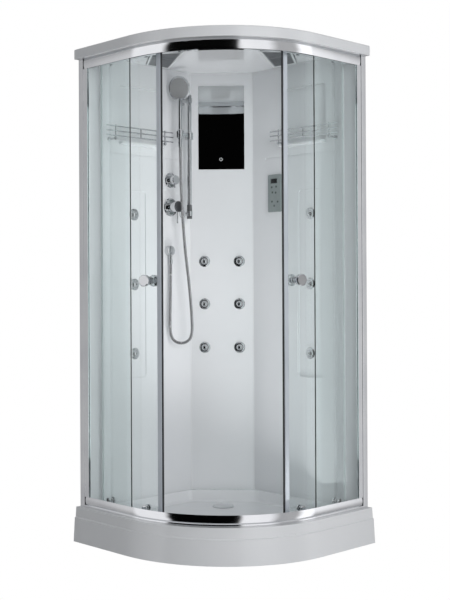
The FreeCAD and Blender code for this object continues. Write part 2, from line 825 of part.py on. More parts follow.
def rear_seal():
    start = glass_end - arc_degrees(rear_seal_grip, door_radius)
    outer = arc_band(door_radius - rear_seal_depth / 2, door_radius + rear_seal_depth / 2, start, door_span,
                     glass_low, glass_high)
    upright = [e for e in outer.Edges if e.BoundBox.ZLength > 100.0]
    outer = outer.makeFillet(2.0, upright)
    half = glass_thick / 2 + fit_gap
    slot = arc_band(door_radius - half, door_radius + half, start - 1.0, glass_end + 0.02,
                    glass_low - 1, glass_high + 1)
    return hung(outer.cut(slot))


def door_knob():
    """Round pull on each side of the glass, joined by one stud through it."""
    axis = ring_point(1.0, knob_angle, 0) - arc_centre
    half = glass_thick / 2
    face = knob_face_radius
    foot = knob_base_radius
    pull = [(0, 0), (foot, 0), (foot + 1, 1.5), (foot + 1, 6), (9, 9), (9, 22), (face - 3, 25), (face, 28),
            (face, knob_reach - 4), (face - 3, knob_reach - 1), (0, knob_reach)]
    parts = []
    for sign, rise in ((1.0, 0.0), (-1.0, hollow_rise(foot))):
        base = ring_point(door_radius + sign * (half + rise), knob_angle, knob_z)
        parts.append(turned(pull, base, axis * sign))
    ends = [ring_point(door_radius + s * (half + 1.0), knob_angle, knob_z) for s in (-1.0, 1.0)]
    parts.append(rod(stem_radius, ends[0], ends[1]))
    return hung(parts[0].fuse(parts[1:]).removeSplitter())


def door_carriers():
    """Clamped bosses with the top axles, and the bottom guide pucks."""
    outer_end = door_offset - (wheel_offset - wheel_width / 2 - axle_end)
    puck = wheel_radius - fit_gap
    near = door_offset - wheel_offset - wheel_width / 2
    half = glass_thick / 2
    flange = flange_radius
    bed = -half - hollow_rise(flange)
    cap = [(0, bed - 7), (flange - 1, bed - 7), (flange, bed - 6), (flange, bed), (boss_radius, bed),
           (boss_radius, half), (11, half), (11, half + 4)]
    axle = cap + [(axle_radius + 2, half + 6), (axle_radius + 2, near - 0.5), (axle_radius, near - 0.5),
                  (axle_radius, outer_end), (0, outer_end)]
    guide = cap + [(axle_radius + 2, half + 6), (axle_radius + 2, near), (puck - 1, near), (puck, near + 1),
                   (puck, near + wheel_width - 1), (puck - 1, near + wheel_width), (0, near + wheel_width)]
    parts = []
    for angle in carrier_angles:
        axis = ring_point(1.0, angle, 0) - arc_centre
        parts.append(hung(turned(axle, ring_point(door_radius, angle, wheel_top_z), axis)))
        parts.append(hung(turned(guide, ring_point(door_radius, angle, wheel_low_z), axis)))
    return Part.makeCompound(parts)


def door_wheel(index):
    """Grooved nylon wheel that runs on the top rail's lip."""
    angle = carrier_angles[index]
    axis = ring_point(1.0, angle, 0) - arc_centre
    bore = axle_radius + running_clearance
    half = wheel_width / 2
    rim = wheel_radius - fit_gap
    profile = [(bore, -half), (rim - 1, -half), (rim, 1 - half), (rim, half - 1), (rim - 1, half),
               (7, half), (6, half - 1), (bore, half - 1)]
    return hung(turned(profile, ring_point(front_radius - wheel_offset, angle, wheel_top_z), axis))


# Body jets.
def jet_places():
    """Name, seat centre on the panel's face and outward axis of every jet."""
    places = []
    rows = ("top", "middle", "bottom")
    inward = wall_point(0, 1) - wall_point(0, 0)
    seat = wall_face - recess_depth
    for row, z in zip(rows, side_jet_heights):
        point = wall_point(jet_t, seat, z)
        places.append(("right_" + row + "_nozzle", point, inward))
        places.append(("left_" + row + "_nozzle", V(-point.x, point.y, z), V(-inward.x, inward.y, 0)))
    for side, x in (("left", -back_jet_x), ("right", back_jet_x)):
        for row, z in zip(rows, back_jet_heights):
            name = "back_" + side + "_" + row + "_nozzle"
            places.append((name, at_depth(x, centre_face, z), V(0, -1, 0)))
    return places


def jet_rings():
    """Fixed bodies of the jets, each with a ball seat open to the room and closed at the back."""
    bowl = dome(jet_ball + fit_gap, jet_stop + ball_sink, jet_collar + ball_sink, 5)
    seat = [(r, h - ball_sink) for r, h in bowl]
    mouth = seat[-1][0]
    tail = ball_sink - jet_back
    bed = jet_stop - 2.5
    profile = [(0, jet_stop)] + seat
    profile += [(mouth + 3, jet_collar), (jet_radius, 1.5), (jet_radius, 0), (jet_body, 0),
                (jet_body, bed), (jet_tail, bed), (jet_tail, tail), (0, tail)]
    return Part.makeCompound([turned(profile, point, axis) for name, point, axis in jet_places()])


def nozzle(point, axis):
    """Domed swivel nozzle: a slice of a ball with its jet hole."""
    front = math.sqrt(jet_ball ** 2 - jet_hole ** 2)
    back = ball_sink + 1.2
    profile = [(jet_hole, back)] + dome(jet_ball, back, front, 6)
    return turned(profile, point - axis * ball_sink, axis)


# Shower set on the left wall.
def left_point(t, o, z=0.0):
    p = wall_point(t, o, z)
    return V(-p.x, p.y, z)


left_inward = left_point(0, 1) - left_point(0, 0)
riser_axis = left_point(riser_t, riser_o)
arm = V(-math.sin(math.radians(arm_turn)), -math.cos(math.radians(arm_turn)), 0)
arm_side = V(-arm.y, arm.x, 0)
cradle_axis = riser_axis + arm * arm_reach


def riser_rail():
    tube = Part.makeCylinder(riser_radius, riser_high - riser_low, riser_axis + V(0, 0, riser_low))
    dome = 2.0
    edges = [e for e in tube.Edges if e.BoundBox.ZLength < 0.01]
    body = tube.makeFillet(dome, edges)
    for z in (bracket_low, bracket_high):
        foot = left_point(riser_t, wall_face, z)
        reach = riser_o - wall_face
        profile = [(0, 0), (19, 0), (19, 3), (bracket_radius, 8), (bracket_radius, reach), (0, reach)]
        body = body.fuse(turned(profile, foot, left_inward))
        body = body.fuse(Part.makeCylinder(riser_radius + 3, 22, riser_axis + V(0, 0, z - 11)))
    return body.removeSplitter()


def slider():
    low = slider_z - slider_height / 2
    centre = riser_axis + V(0, 0, low)
    high = slider_height
    bore = riser_radius + running_clearance
    profile = [(bore, 0), (slider_radius - 2, 0), (slider_radius, 2),
               (slider_radius, high - 2), (slider_radius - 2, high), (bore, high)]
    body = turned(profile, centre, up)
    tongue = Part.makeBox(pivot_reach, tongue_width, 16.0, V(0, -tongue_width / 2, -8.0))
    tip = Part.makeCylinder(8.0, tongue_width, V(pivot_reach, tongue_width / 2, 0), V(0, -1, 0))
    tongue = tongue.fuse(tip)
    tongue.Placement = FreeCAD.Placement(riser_axis + V(0, 0, slider_z), FreeCAD.Rotation(V(1, 0, 0), arm))
    bore = Part.makeCylinder(riser_radius + 4, 60, riser_axis + V(0, 0, slider_z - 30))
    pivot = riser_axis + arm * pivot_reach + V(0, 0, slider_z)
    half = tongue_width / 2 + cheek_width + 1.0
    pin = rod(axle_radius, pivot - arm_side * half, pivot + arm_side * half)
    lever = rod(3.5, riser_axis - arm * (slider_radius - 2) + V(0, 0, slider_z),
                riser_axis - arm * (slider_radius + 6) + V(0, 0, slider_z))
    return body.fuse([tongue.cut(bore), pin, lever]).removeSplitter()


def cradle():
    """Open ring that holds the handset, on two cheeks that straddle the slider's tongue."""
    high = 30.0
    inner = handle_radius + 0.5
    base = cradle_axis + V(0, 0, slider_z - high / 2)
    ring = turned([(inner, 0), (cradle_radius - 1, 0), (cradle_radius, 1), (cradle_radius, high - 1),
                   (cradle_radius - 1, high), (inner, high)], base, up)
    half = tongue_width / 2 + fit_gap
    length = arm_reach - pivot_reach
    pivot = riser_axis + arm * pivot_reach + V(0, 0, slider_z)
    body = ring
    for sign in (-1.0, 1.0):
        cheek = Part.makeBox(length, cheek_width, 14.0, V(0, -cheek_width / 2, -7.0))
        tip = Part.makeCylinder(7.0, cheek_width, V(0, -cheek_width / 2, 0), V(0, 1, 0))
        cheek = cheek.fuse(tip)
        middle = pivot + arm_side * (sign * (half + cheek_width / 2))
        cheek.Placement = FreeCAD.Placement(middle, FreeCAD.Rotation(V(1, 0, 0), arm))
        body = body.fuse(cheek)
    body = body.cut(Part.makeCylinder(inner, high + 40, base - V(0, 0, 20)))
    slot = Part.makeBox(40.0, cradle_slot, high + 2, V(0, -cradle_slot / 2, -high / 2 - 1))
    slot.Placement = FreeCAD.Placement(cradle_axis + V(0, 0, slider_z), FreeCAD.Rotation(V(1, 0, 0), arm))
    bore = rod(axle_radius + running_clearance, pivot - arm_side * 30, pivot + arm_side * 30)
    return body.cut(slot).cut(bore).removeSplitter()


def handset():
    """Round head on a slim handle, with a flared seat above the cradle and a hose nut below."""
    base = cradle_axis + V(0, 0, slider_z)
    seat = 15.0 + fit_gap
    low = -nut_length
    profile = [(0, low), (8, low), (9.5, low + 4), (10.5, -28), (handle_radius, -22), (handle_radius, seat),
               (14.5, seat), (14.5, seat + 3), (handle_radius, seat + 8), (10.0, 70),
               (handle_radius, handle_length), (0, handle_length + 6)]
    body = turned(profile, base, up)
    down = math.radians(head_tilt)
    axis = arm * math.cos(down) - up * math.sin(down)
    centre = base + V(0, 0, head_rise) - axis * 2.0
    r = head_radius
    head = [(0, -13), (22, -12), (42, -5), (r - 1.5, 3), (r, 6), (r, 11), (r - 2, 13), (r - 6, 13),
            (r - 8, 11.5), (0, 11.5)]
    return body.fuse(turned(head, centre, axis)).removeSplitter()


def hose_route():
    """Points of the hanging hose, as (x, distance from the corner, height)."""
    start = cradle_axis + V(0, 0, slider_z - nut_length - hose_gap)
    end = left_point(elbow_t, elbow_o, elbow_low - hose_gap)
    turn_x = -189.0
    turn_z = elbow_low - 315.0
    turn_radius = 50.0
    loop = []
    for angle in (-22.5, -67.5, -112.5, -157.5):
        a = math.radians(angle)
        reach = turn_radius / math.cos(math.radians(22.5))
        loop.append((turn_x + reach * math.cos(a), 319.0, turn_z + reach * math.sin(a)))
    down = [(-188.5, 331.0, turn_z + 710.0), (-182.0, 328.0, turn_z + 550.0), (-170.0, 326.0, turn_z + 382.0),
            (-151.0, 323.0, turn_z + 215.0), (-139.0, 320.0, turn_z + 62.0)]
    rise = [(-241.0, 315.0, turn_z + 62.0), (-238.5, 305.0, turn_z + 195.0)]
    middle = [at_depth(x, depth, z) for x, depth, z in down + loop + rise]
    return [start] + middle + [end]


def hose():
    """Tube on straight runs joined by tangent arcs."""
    points = hose_route()
    edges = []
    last = points[0]
    length = 0.0
    for before, here, after in zip(points, points[1:], points[2:]):
        a = (before - here)
        b = (after - here)
        run = 0.45 * min(a.Length, b.Length)
        turn = math.pi - a.getAngle(b)
        a.normalize()
        b.normalize()
        radius = run / math.tan(turn / 2)
        print("hose bend radius %.0f mm" % radius)
        first = here + a * run
        second = here + b * run
        bisector = a + b
        bisector.normalize()
        middle = here + bisector * (radius / math.cos(turn / 2) - radius)
        edges.append(Part.makeLine(last, first))
        arc = Part.Arc(first, middle, second).toShape()
        edges.append(arc)
        length += edges[-2].Length + arc.Length
        last = second
    edges.append(Part.makeLine(last, points[-1]))
    length += edges[-1].Length
    path = Part.Wire(edges)
    r = hose_diameter / 2
    start = points[0]
    ring = Part.Wire([Part.Circle(start, points[1] - start, r).toShape()])
    tube = path.makePipeShell([ring], True, False)
    print("hose length %.0f mm, volume ratio %.4f" % (length, tube.Volume / (math.pi * r * r * length)))
    return tube


def valve_escutcheons():
    """Wall plates of the two valves, each with the spindle that carries its knob."""
    parts = []
    back = manifold_back - wall_face
    for z, plate in ((diverter_z, diverter_plate), (mixer_z, mixer_plate)):
        foot = left_point(valve_t, wall_face, z)
        stub = spindle_radius + 4
        profile = [(0, back), (stub, back), (stub, 0), (plate, 0), (plate, 3), (plate - 3, plate_thick - 1),
                   (plate - 8, plate_thick), (spindle_radius, plate_thick), (spindle_radius, 22), (0, 22)]
        parts.append(turned(profile, foot, left_inward))
    return Part.makeCompound(parts)


def valve_knob(z, radius, reach, lever):
    """Barrel knob with a pin lever that hangs down from it."""
    foot = left_point(valve_t, wall_face, z)
    lever_out, lever_length = lever
    start = plate_thick + fit_gap
    bore = spindle_radius + running_clearance
    end = reach - wall_face
    profile = [(bore, start), (radius - 3, start), (radius - 2, start + 1), (radius - 2, end - 20),
               (radius, end - 18), (radius, end - 2), (radius - 2, end), (0, end), (0, 22.5), (bore, 22.5)]
    body = turned(profile, foot, left_inward)
    root = foot + left_inward * lever_out
    pin = rod(lever_radius, root - V(0, 0, radius - 6), root - V(0, 0, radius + lever_length))
    tip = ball(lever_radius + 1.5, root - V(0, 0, radius + lever_length), up)
    return body.fuse([pin, tip]).removeSplitter()


def wall_elbow():
    """Round body on the wall with a slightly domed front and the hose outlet under it."""
    foot = left_point(elbow_t, wall_face, elbow_z)
    back = manifold_back - wall_face
    rim = elbow_radius
    deep = elbow_reach
    profile = [(0, back), (spindle_radius, back), (spindle_radius, 0), (rim, 0), (rim, deep - 8),
               (rim - 1.5, deep - 4), (rim - 6, deep - 1.5), (rim - 14, deep), (0, deep)]
    body = turned(profile, foot, left_inward)
    low = left_point(elbow_t, elbow_o, elbow_low)
    high = elbow_z - elbow_low
    outlet = [(0, 0), (8.5, 0), (9.5, 3), (9.5, 18), (8, 22), (8, high), (0, high)]
    return body.fuse(turned(outlet, low, up)).removeSplitter()


# Small fittings.
def control_panel():
    t0 = panel_t - panel_width / 2
    z0 = panel_z - panel_height / 2
    body = block(t0, t0 + panel_width, wall_face, wall_face + panel_thick, z0, z0 + panel_height)
    short = [e for e in body.Edges if e.BoundBox.YLength > panel_thick - 1]
    body = body.makeFillet(5.0, short)
    front = [e for e in body.Edges if e.BoundBox.YMax < 0.1 - wall_face - panel_thick]
    body = body.makeFillet(1.5, front)
    t1 = display_t - display_width / 2
    z1 = display_z - display_height / 2
    window = block(t1, t1 + display_width, wall_face + panel_thick - 1, wall_face + panel_thick + 1,
                   z1, z1 + display_height)
    return in_wall(body.cut(window))


def gallery_rails():
    """Three rods on two ball-ended arms: the outer arm on the wall, the inner one on the shelf."""
    rods = []
    half = rod_length / 2
    for z in rod_heights:
        rods.append(rod(rod_radius, V(rod_centre - half, -rod_o, z), V(rod_centre + half, -rod_o, z)))
    for t in (rod_centre - ball_spread, rod_centre + ball_spread):
        rods.append(rod(rod_radius, V(t, -rod_o, ball_z), V(t, -rod_o, rod_heights[-1] + 6)))
        rods.append(ball(ball_radius, V(t, -rod_o, ball_z), up))
    outer = V(rod_centre + ball_spread, -wall_face, ball_z)
    rods.append(rod(rod_arm_radius, outer, V(outer.x, -rod_o, ball_z)))
    rods.append(rod(rod_foot_radius, outer, outer - V(0, rod_foot_thick, 0)))
    inner = V(rod_centre - ball_spread, -rod_foot_o, niche_low + shelf_lip)
    rods.append(rod(rod_arm_radius, V(inner.x, inner.y, ball_z), V(inner.x, -rod_o, ball_z)))
    rods.append(rod(rod_foot_radius, inner, inner + V(0, 0, rod_foot_thick)))
    middle = V(rod_centre, -rod_o, 0)
    rods.append(rod(rod_radius, middle + up * rod_heights[0], middle + up * rod_heights[-1]))
    right = in_wall(rods[0].fuse(rods[1:]))
    return Part.makeCompound([right, mirrored(right)])


def steam_generator():
    """Boiler box on the back of the centre panel, with its neck pointing backwards."""
    back = centre_face - shell
    height = generator_high - generator_low
    body = Part.makeBox(2 * generator_half, generator_depth, height,
                        at_depth(-generator_half, back, generator_low))
    upright = [e for e in body.Edges if e.BoundBox.ZLength > 0.9 * height]
    body = body.makeFillet(6.0, upright)
    root = at_depth(neck_x, back - generator_depth, neck_z)
    return body.fuse(rod(neck_radius, root - V(0, 1, 0), root + V(0, neck_length, 0)))


def water_pipes():
    """Pipe work behind the panels: supplies, valve body, outlet to the hose and headers to the jets."""
    def run(points, radius=pipe_radius):
        shapes = [rod(radius, a, b) for a, b in zip(points, points[1:])]
        return shapes + [ball(radius + 1.0, p, up) for p in points[1:-1]]

    tail = ball_sink - jet_back
    jet_end = wall_face - recess_depth + tail
    header_high = side_jet_heights[0]
    centre = at_depth(0, centre_face - panel_depth - 18.0, 0)
    middle = centre + V(0, 0, feed_z)
    shapes = run([middle, centre + V(0, 0, back_jet_heights[0])])
    for point in (left_point, wall_point):
        shapes += run([middle, point(wall_start - 60.0, pipe_o, feed_z), point(jet_t, pipe_o, feed_z),
                       point(jet_t, pipe_o, header_high)])
        for z in side_jet_heights:
            shapes.append(rod(pipe_socket, point(jet_t, pipe_o, z), point(jet_t, jet_end, z)))
    for z in back_jet_heights:
        ends = [centre + V(x, 0, z) for x in (-back_jet_x, back_jet_x)]
        shapes += run(ends)
        shapes += [rod(pipe_socket, end, at_depth(end.x, centre_face + tail, z)) for end in ends]
    valve = block(valve_t - valve_half, valve_t + valve_half, 1.5, manifold_back,
                  mixer_z - 30.0, diverter_z + 30.0)
    shapes.append(mirrored(in_wall(valve)))
    outlet = left_point(elbow_t, pipe_o, elbow_z)
    shapes += run([left_point(valve_t, pipe_o, mixer_z - 25.0), outlet])
    shapes.append(rod(pipe_socket, outlet, left_point(elbow_t, manifold_back, elbow_z)))
    shapes += run([left_point(valve_t, pipe_o, diverter_z), left_point(jet_t, pipe_o, diverter_z - 60.0),
                   left_point(jet_t, pipe_o, header_high)])
    for z in supply_zs:
        root = at_depth(inlet_x, inlet_depth, z)
        start = left_point(valve_t - valve_half + 1.0, supply_o, z)
        shapes += run([start, left_point(supply_turn, supply_o, z), root - V(0, 12, 0), root])
        shapes.append(rod(nipple_radius, root, root + V(0, nipple_length, 0)))
    return shapes[0].fuse(shapes[1:])


def export(name, shape):
    shape.exportStep("parts/" + name + ".step")


def main():
    os.makedirs("parts", exist_ok=True)
    pieces = {
        "tray": tray(), "tray_frame": tray_frame(), "levelling_feet": levelling_feet(),
        "waste_trap": waste_trap(), "drain_cover": drain_cover(), "left_wall": left_wall(),
        "right_wall": right_wall(), "centre_panel": centre_panel(), "mirror": mirror(), "roof": roof(),
        "ceiling_grilles": ceiling_grilles(), "fan_housing": fan_housing(), "fan_rotor": fan_rotor(),
        "speaker_driver": speaker_driver(), "top_rail": top_rail(), "bottom_rail": bottom_rail(),
        "jamb_profiles": jamb_profiles(), "fixed_glass_panels": fixed_glass_panels(),
        "jet_rings": jet_rings(), "riser_rail": riser_rail(), "slider": slider(), "cradle": cradle(),
        "handset": handset(), "hose": hose(), "valve_escutcheons": valve_escutcheons(),
        "diverter_knob": valve_knob(diverter_z, diverter_radius, diverter_reach, diverter_lever),
        "mixer_knob": valve_knob(mixer_z, mixer_radius, mixer_reach, mixer_lever),
        "wall_elbow": wall_elbow(), "control_panel": control_panel(), "gallery_rails": gallery_rails(),
        "steam_generator": steam_generator(), "water_pipes": water_pipes(),
    }
    doors = {
        "door_glass": door_glass(), "door_stile": door_stile(), "magnet_seal": magnet_seal(),
        "rear_seal": rear_seal(), "door_knob": door_knob(), "door_carriers": door_carriers(),
        "front_wheel": door_wheel(0), "rear_wheel": door_wheel(1),
    }
    for name, shape in doors.items():
        pieces["right_" + name] = shape
        pieces["left_" + name] = mirrored(shape)
    for name, point, axis in jet_places():
        pieces[name] = nozzle(point, axis)
    print("door pole x %.3f y %.3f, turn %.4f degrees" % (pole.x, pole.y, door_turn))
    for name, shape in pieces.items():
        export(name, shape)


main()
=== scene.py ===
import json
import math

import bmesh
import bpy
from mathutils import Matrix, Vector


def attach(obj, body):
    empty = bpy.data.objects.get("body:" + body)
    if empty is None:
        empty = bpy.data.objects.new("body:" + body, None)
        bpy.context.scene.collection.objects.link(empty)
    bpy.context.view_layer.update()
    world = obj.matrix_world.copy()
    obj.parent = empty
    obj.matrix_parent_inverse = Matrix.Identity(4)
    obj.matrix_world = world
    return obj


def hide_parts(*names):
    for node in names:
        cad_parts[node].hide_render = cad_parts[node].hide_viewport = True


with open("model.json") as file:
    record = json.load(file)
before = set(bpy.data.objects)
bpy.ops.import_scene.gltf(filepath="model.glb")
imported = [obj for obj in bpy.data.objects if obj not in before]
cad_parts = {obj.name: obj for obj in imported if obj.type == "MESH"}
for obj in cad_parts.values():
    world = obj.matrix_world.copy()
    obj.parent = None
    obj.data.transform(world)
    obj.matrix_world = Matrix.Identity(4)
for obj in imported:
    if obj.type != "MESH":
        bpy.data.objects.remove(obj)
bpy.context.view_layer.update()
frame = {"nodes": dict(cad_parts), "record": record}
nodes = frame["nodes"]
scene = bpy.context.scene
corner = 0.5299875        # the back corner, on Y
rootTwo = math.sqrt(2.0)
print("frame loaded:", len(nodes), "nodes")


# The camera stands where the photograph was taken from; the frame is 450 by 600.
view = {"place": (-0.0164, -4.770, 1.0996), "turn": (90.149, 0.2636, 2.367),
        "lens": 64.872, "shift": (0.08525, -0.02672)}

cameraData = bpy.data.cameras.new("camera")
cameraData.sensor_fit = "AUTO"
cameraData.sensor_width = 36.0
cameraData.lens = view["lens"]
cameraData.shift_x, cameraData.shift_y = view["shift"]
cameraData.clip_start = 0.05
cameraData.clip_end = 60.0
camera = bpy.data.objects.new("camera", cameraData)
camera.location = view["place"]
camera.rotation_euler = [math.radians(angle) for angle in view["turn"]]
scene.collection.objects.link(camera)
scene.camera = camera
print("camera set")


# Small helpers for meshes.
def addObject(name, mesh):
    piece = bpy.data.objects.new(name, mesh)
    scene.collection.objects.link(piece)
    return piece


def evaluatedMesh(piece):
    return bpy.data.meshes.new_from_object(piece.evaluated_get(bpy.context.evaluated_depsgraph_get()))


def smoothByAngle(mesh, degrees=30.0):
    work = bmesh.new()
    work.from_mesh(mesh)
    bmesh.ops.recalc_face_normals(work, faces=work.faces)
    for face in work.faces:
        face.smooth = True
    limit = math.radians(degrees)
    for edge in work.edges:
        edge.smooth = len(edge.link_faces) == 2 and edge.calc_face_angle(0.0) < limit
    work.to_mesh(mesh)
    work.free()


def meshFrom(name, points, faces, degrees=30.0):
    mesh = bpy.data.meshes.new(name)
    mesh.from_pydata([tuple(p) for p in points], [], faces)
    mesh.validate()
    smoothByAngle(mesh, degrees)
    return mesh


def turnOnAxis(outline, place, axis, sides=48):
    # a closed outline of (radius, height) turned about an axis
    axis = Vector(axis).normalized()
    spin = axis.to_track_quat("Z", "Y").to_matrix().to_4x4()
    base = Matrix.Translation(Vector(place)) @ spin
    points, faces, rings = [], [], []
    for radius, height in outline:
        if radius < 1e-7:
            rings.append([len(points)])
            points.append(base @ Vector((0, 0, height)))
        else:
            rings.append([len(points) + k for k in range(sides)])
            for k in range(sides):
                angle = 2 * math.pi * k / sides
                points.append(base @ Vector((radius * math.cos(angle), radius * math.sin(angle), height)))
    for a, b in zip(rings, rings[1:] + rings[:1]):
        if len(a) == 1 and len(b) == 1:
            continue
        for k in range(sides):
            n = (k + 1) % sides
            if len(a) == 1:
                faces.append((a[0], b[k], b[n]))
            elif len(b) == 1:
                faces.append((a[k], a[n], b[0]))
            else:
                faces.append((a[k], a[n], b[n], b[k]))
    return points, faces


def joined(parts):
    points, faces = [], []
    for somePoints, someFaces in parts:
        start = len(points)
        points += list(somePoints)
        faces += [tuple(i + start for i in face) for face in someFaces]
    return points, faces


# Shader groups that several finishes share.
def newGroup(name, inputs, outputs):
    tree = bpy.data.node_groups.new(name, "ShaderNodeTree")
    for title, kind, value in inputs:
        socket = tree.interface.new_socket(name=title, in_out="INPUT", socket_type=kind)
        socket.default_value = value
    for title, kind in outputs:
        tree.interface.new_socket(name=title, in_out="OUTPUT", socket_type=kind)
    enter = tree.nodes.new("NodeGroupInput")
    leave = tree.nodes.new("NodeGroupOutput")
    return tree, enter, leave


def mathNode(tree, kind, first, second=None, third=None):
    step = tree.nodes.new("ShaderNodeMath")
    step.operation = kind
    for slot, value in enumerate((first, second, third)):
        if value is None:
            continue
        if isinstance(value, (int, float)):
            step.inputs[slot].default_value = value
        else:
            tree.links.new(value, step.inputs[slot])
    return step.outputs[0]


def makePolish():
    # faint smears and ripples of a smooth moulded or plated surface
    tree, enter, leave = newGroup(
        "polishMarks",
        [("Scale", "NodeSocketFloat", 6.0), ("Roughness", "NodeSocketFloat", 0.1),
         ("Smear", "NodeSocketFloat", 0.05), ("Ripple", "NodeSocketFloat", 1.0)],
        [("Roughness", "NodeSocketFloat"), ("Height", "NodeSocketFloat"), ("Tone", "NodeSocketFloat")])
    spot = tree.nodes.new("ShaderNodeTexCoord")
    smear = tree.nodes.new("ShaderNodeTexNoise")
    smear.inputs["Detail"].default_value = 5.0
    tree.links.new(spot.outputs["Object"], smear.inputs["Vector"])
    tree.links.new(enter.outputs["Scale"], smear.inputs["Scale"])
    ripple = tree.nodes.new("ShaderNodeTexNoise")
    ripple.inputs["Detail"].default_value = 2.0
    tree.links.new(spot.outputs["Object"], ripple.inputs["Vector"])
    tree.links.new(mathNode(tree, "MULTIPLY", enter.outputs["Scale"], 9.0), ripple.inputs["Scale"])
    spread = mathNode(tree, "SUBTRACT", smear.outputs["Fac"], 0.5)
    rough = mathNode(tree, "MULTIPLY_ADD", spread, enter.outputs["Smear"], enter.outputs["Roughness"])
    tree.links.new(rough, leave.inputs["Roughness"])
    tree.links.new(mathNode(tree, "MULTIPLY", ripple.outputs["Fac"], enter.outputs["Ripple"]),
                   leave.inputs["Height"])
    tree.links.new(smear.outputs["Fac"], leave.inputs["Tone"])
    return tree


def makeGrain():
    # fine grain of moulded plastic, rubber or zinc, with a coarser cloud
    tree, enter, leave = newGroup(
        "castGrain",
        [("Fine", "NodeSocketFloat", 900.0), ("Cloud", "NodeSocketFloat", 14.0),
         ("Roughness", "NodeSocketFloat", 0.5), ("Spread", "NodeSocketFloat", 0.15)],
        [("Roughness", "NodeSocketFloat"), ("Height", "NodeSocketFloat"), ("Tone", "NodeSocketFloat")])
    spot = tree.nodes.new("ShaderNodeTexCoord")
    fine = tree.nodes.new("ShaderNodeTexNoise")
    tree.links.new(spot.outputs["Object"], fine.inputs["Vector"])
    tree.links.new(enter.outputs["Fine"], fine.inputs["Scale"])
    cloud = tree.nodes.new("ShaderNodeTexNoise")
    cloud.inputs["Detail"].default_value = 6.0
    tree.links.new(spot.outputs["Object"], cloud.inputs["Vector"])
    tree.links.new(enter.outputs["Cloud"], cloud.inputs["Scale"])
    spread = mathNode(tree, "SUBTRACT", cloud.outputs["Fac"], 0.5)
    rough = mathNode(tree, "MULTIPLY_ADD", spread, enter.outputs["Spread"], enter.outputs["Roughness"])
    tree.links.new(rough, leave.inputs["Roughness"])
    tree.links.new(fine.outputs["Fac"], leave.inputs["Height"])
    tree.links.new(cloud.outputs["Fac"], leave.inputs["Tone"])
    return tree


polishMarks = makePolish()
castGrain = makeGrain()


def baseMaterial(name):
    material = bpy.data.materials.new(name)
    material.use_nodes = True
    tree = material.node_tree
    return material, tree, tree.nodes["Principled BSDF"]


def placeGroup(tree, group, values):
    step = tree.nodes.new("ShaderNodeGroup")
    step.node_tree = group
    for title, value in values.items():
        step.inputs[title].default_value = value
    return step


def toneRamp(tree, source, dark, light, low=0.3, high=0.7):
    ramp = tree.nodes.new("ShaderNodeValToRGB")
    ramp.color_ramp.elements[0].position = low
    ramp.color_ramp.elements[0].color = (*dark, 1.0)
    ramp.color_ramp.elements[1].position = high
    ramp.color_ramp.elements[1].color = (*light, 1.0)
    tree.links.new(source, ramp.inputs["Fac"])
    return ramp.outputs["Color"]


def addBump(tree, shader, height, distance, strength=1.0):
    bump = tree.nodes.new("ShaderNodeBump")
    bump.inputs["Strength"].default_value = strength
    bump.inputs["Distance"].default_value = distance
    tree.links.new(height, bump.inputs["Height"])
    tree.links.new(bump.outputs["Normal"], shader.inputs["Normal"])


acrylic = {"dark": (0.72, 0.735, 0.755), "light": (0.755, 0.765, 0.785), "roughness": 0.2, "coat": 0.35}
glass = {"dark": (0.918, 0.962, 0.958), "light": (0.934, 0.972, 0.968), "ior": 1.45,
         "seeThrough": (0.965, 0.982, 0.98)}
plating = {"dark": (0.60, 0.61, 0.62), "light": (0.67, 0.68, 0.69), "roughness": 0.06}
railMetal = {"dark": (0.77, 0.78, 0.80), "light": (0.84, 0.85, 0.86), "roughness": 0.09}
silver = {"dark": (0.80, 0.83, 0.83), "light": (0.84, 0.87, 0.87), "roughness": 0.015}
stileMetal = {"dark": (0.50, 0.54, 0.59), "light": (0.57, 0.61, 0.66), "roughness": 0.34}
hoseMetal = {"dark": (0.42, 0.42, 0.43), "light": (0.50, 0.50, 0.51), "roughness": 0.26}
sleeveMetal = {"dark": (0.15, 0.155, 0.16), "light": (0.21, 0.215, 0.22), "roughness": 0.3}
galvanised = {"dark": (0.42, 0.44, 0.46), "light": (0.62, 0.64, 0.66), "roughness": 0.38}


def makeAcrylic():
    material, tree, shader = baseMaterial("whiteAcrylic")
    marks = placeGroup(tree, polishMarks, {"Scale": 3.0, "Roughness": acrylic["roughness"],
                                           "Smear": 0.09, "Ripple": 1.0})
    tree.links.new(toneRamp(tree, marks.outputs["Tone"], acrylic["dark"], acrylic["light"]),
                   shader.inputs["Base Color"])
    tree.links.new(marks.outputs["Roughness"], shader.inputs["Roughness"])
    shader.inputs["Coat Weight"].default_value = acrylic["coat"]
    shader.inputs["Coat Roughness"].default_value = 0.06
    addBump(tree, shader, marks.outputs["Height"], 0.00035, 0.5)
    return material


def makeMetal(name, values, smear, scale, ripple=0.00003, metallic=1.0):
    material, tree, shader = baseMaterial(name)
    marks = placeGroup(tree, polishMarks, {"Scale": scale, "Roughness": values["roughness"],
                                           "Smear": smear, "Ripple": 1.0})
    tree.links.new(toneRamp(tree, marks.outputs["Tone"], values["dark"], values["light"]),
                   shader.inputs["Base Color"])
    tree.links.new(marks.outputs["Roughness"], shader.inputs["Roughness"])
    shader.inputs["Metallic"].default_value = metallic
    addBump(tree, shader, marks.outputs["Height"], ripple, 0.4)
    return material


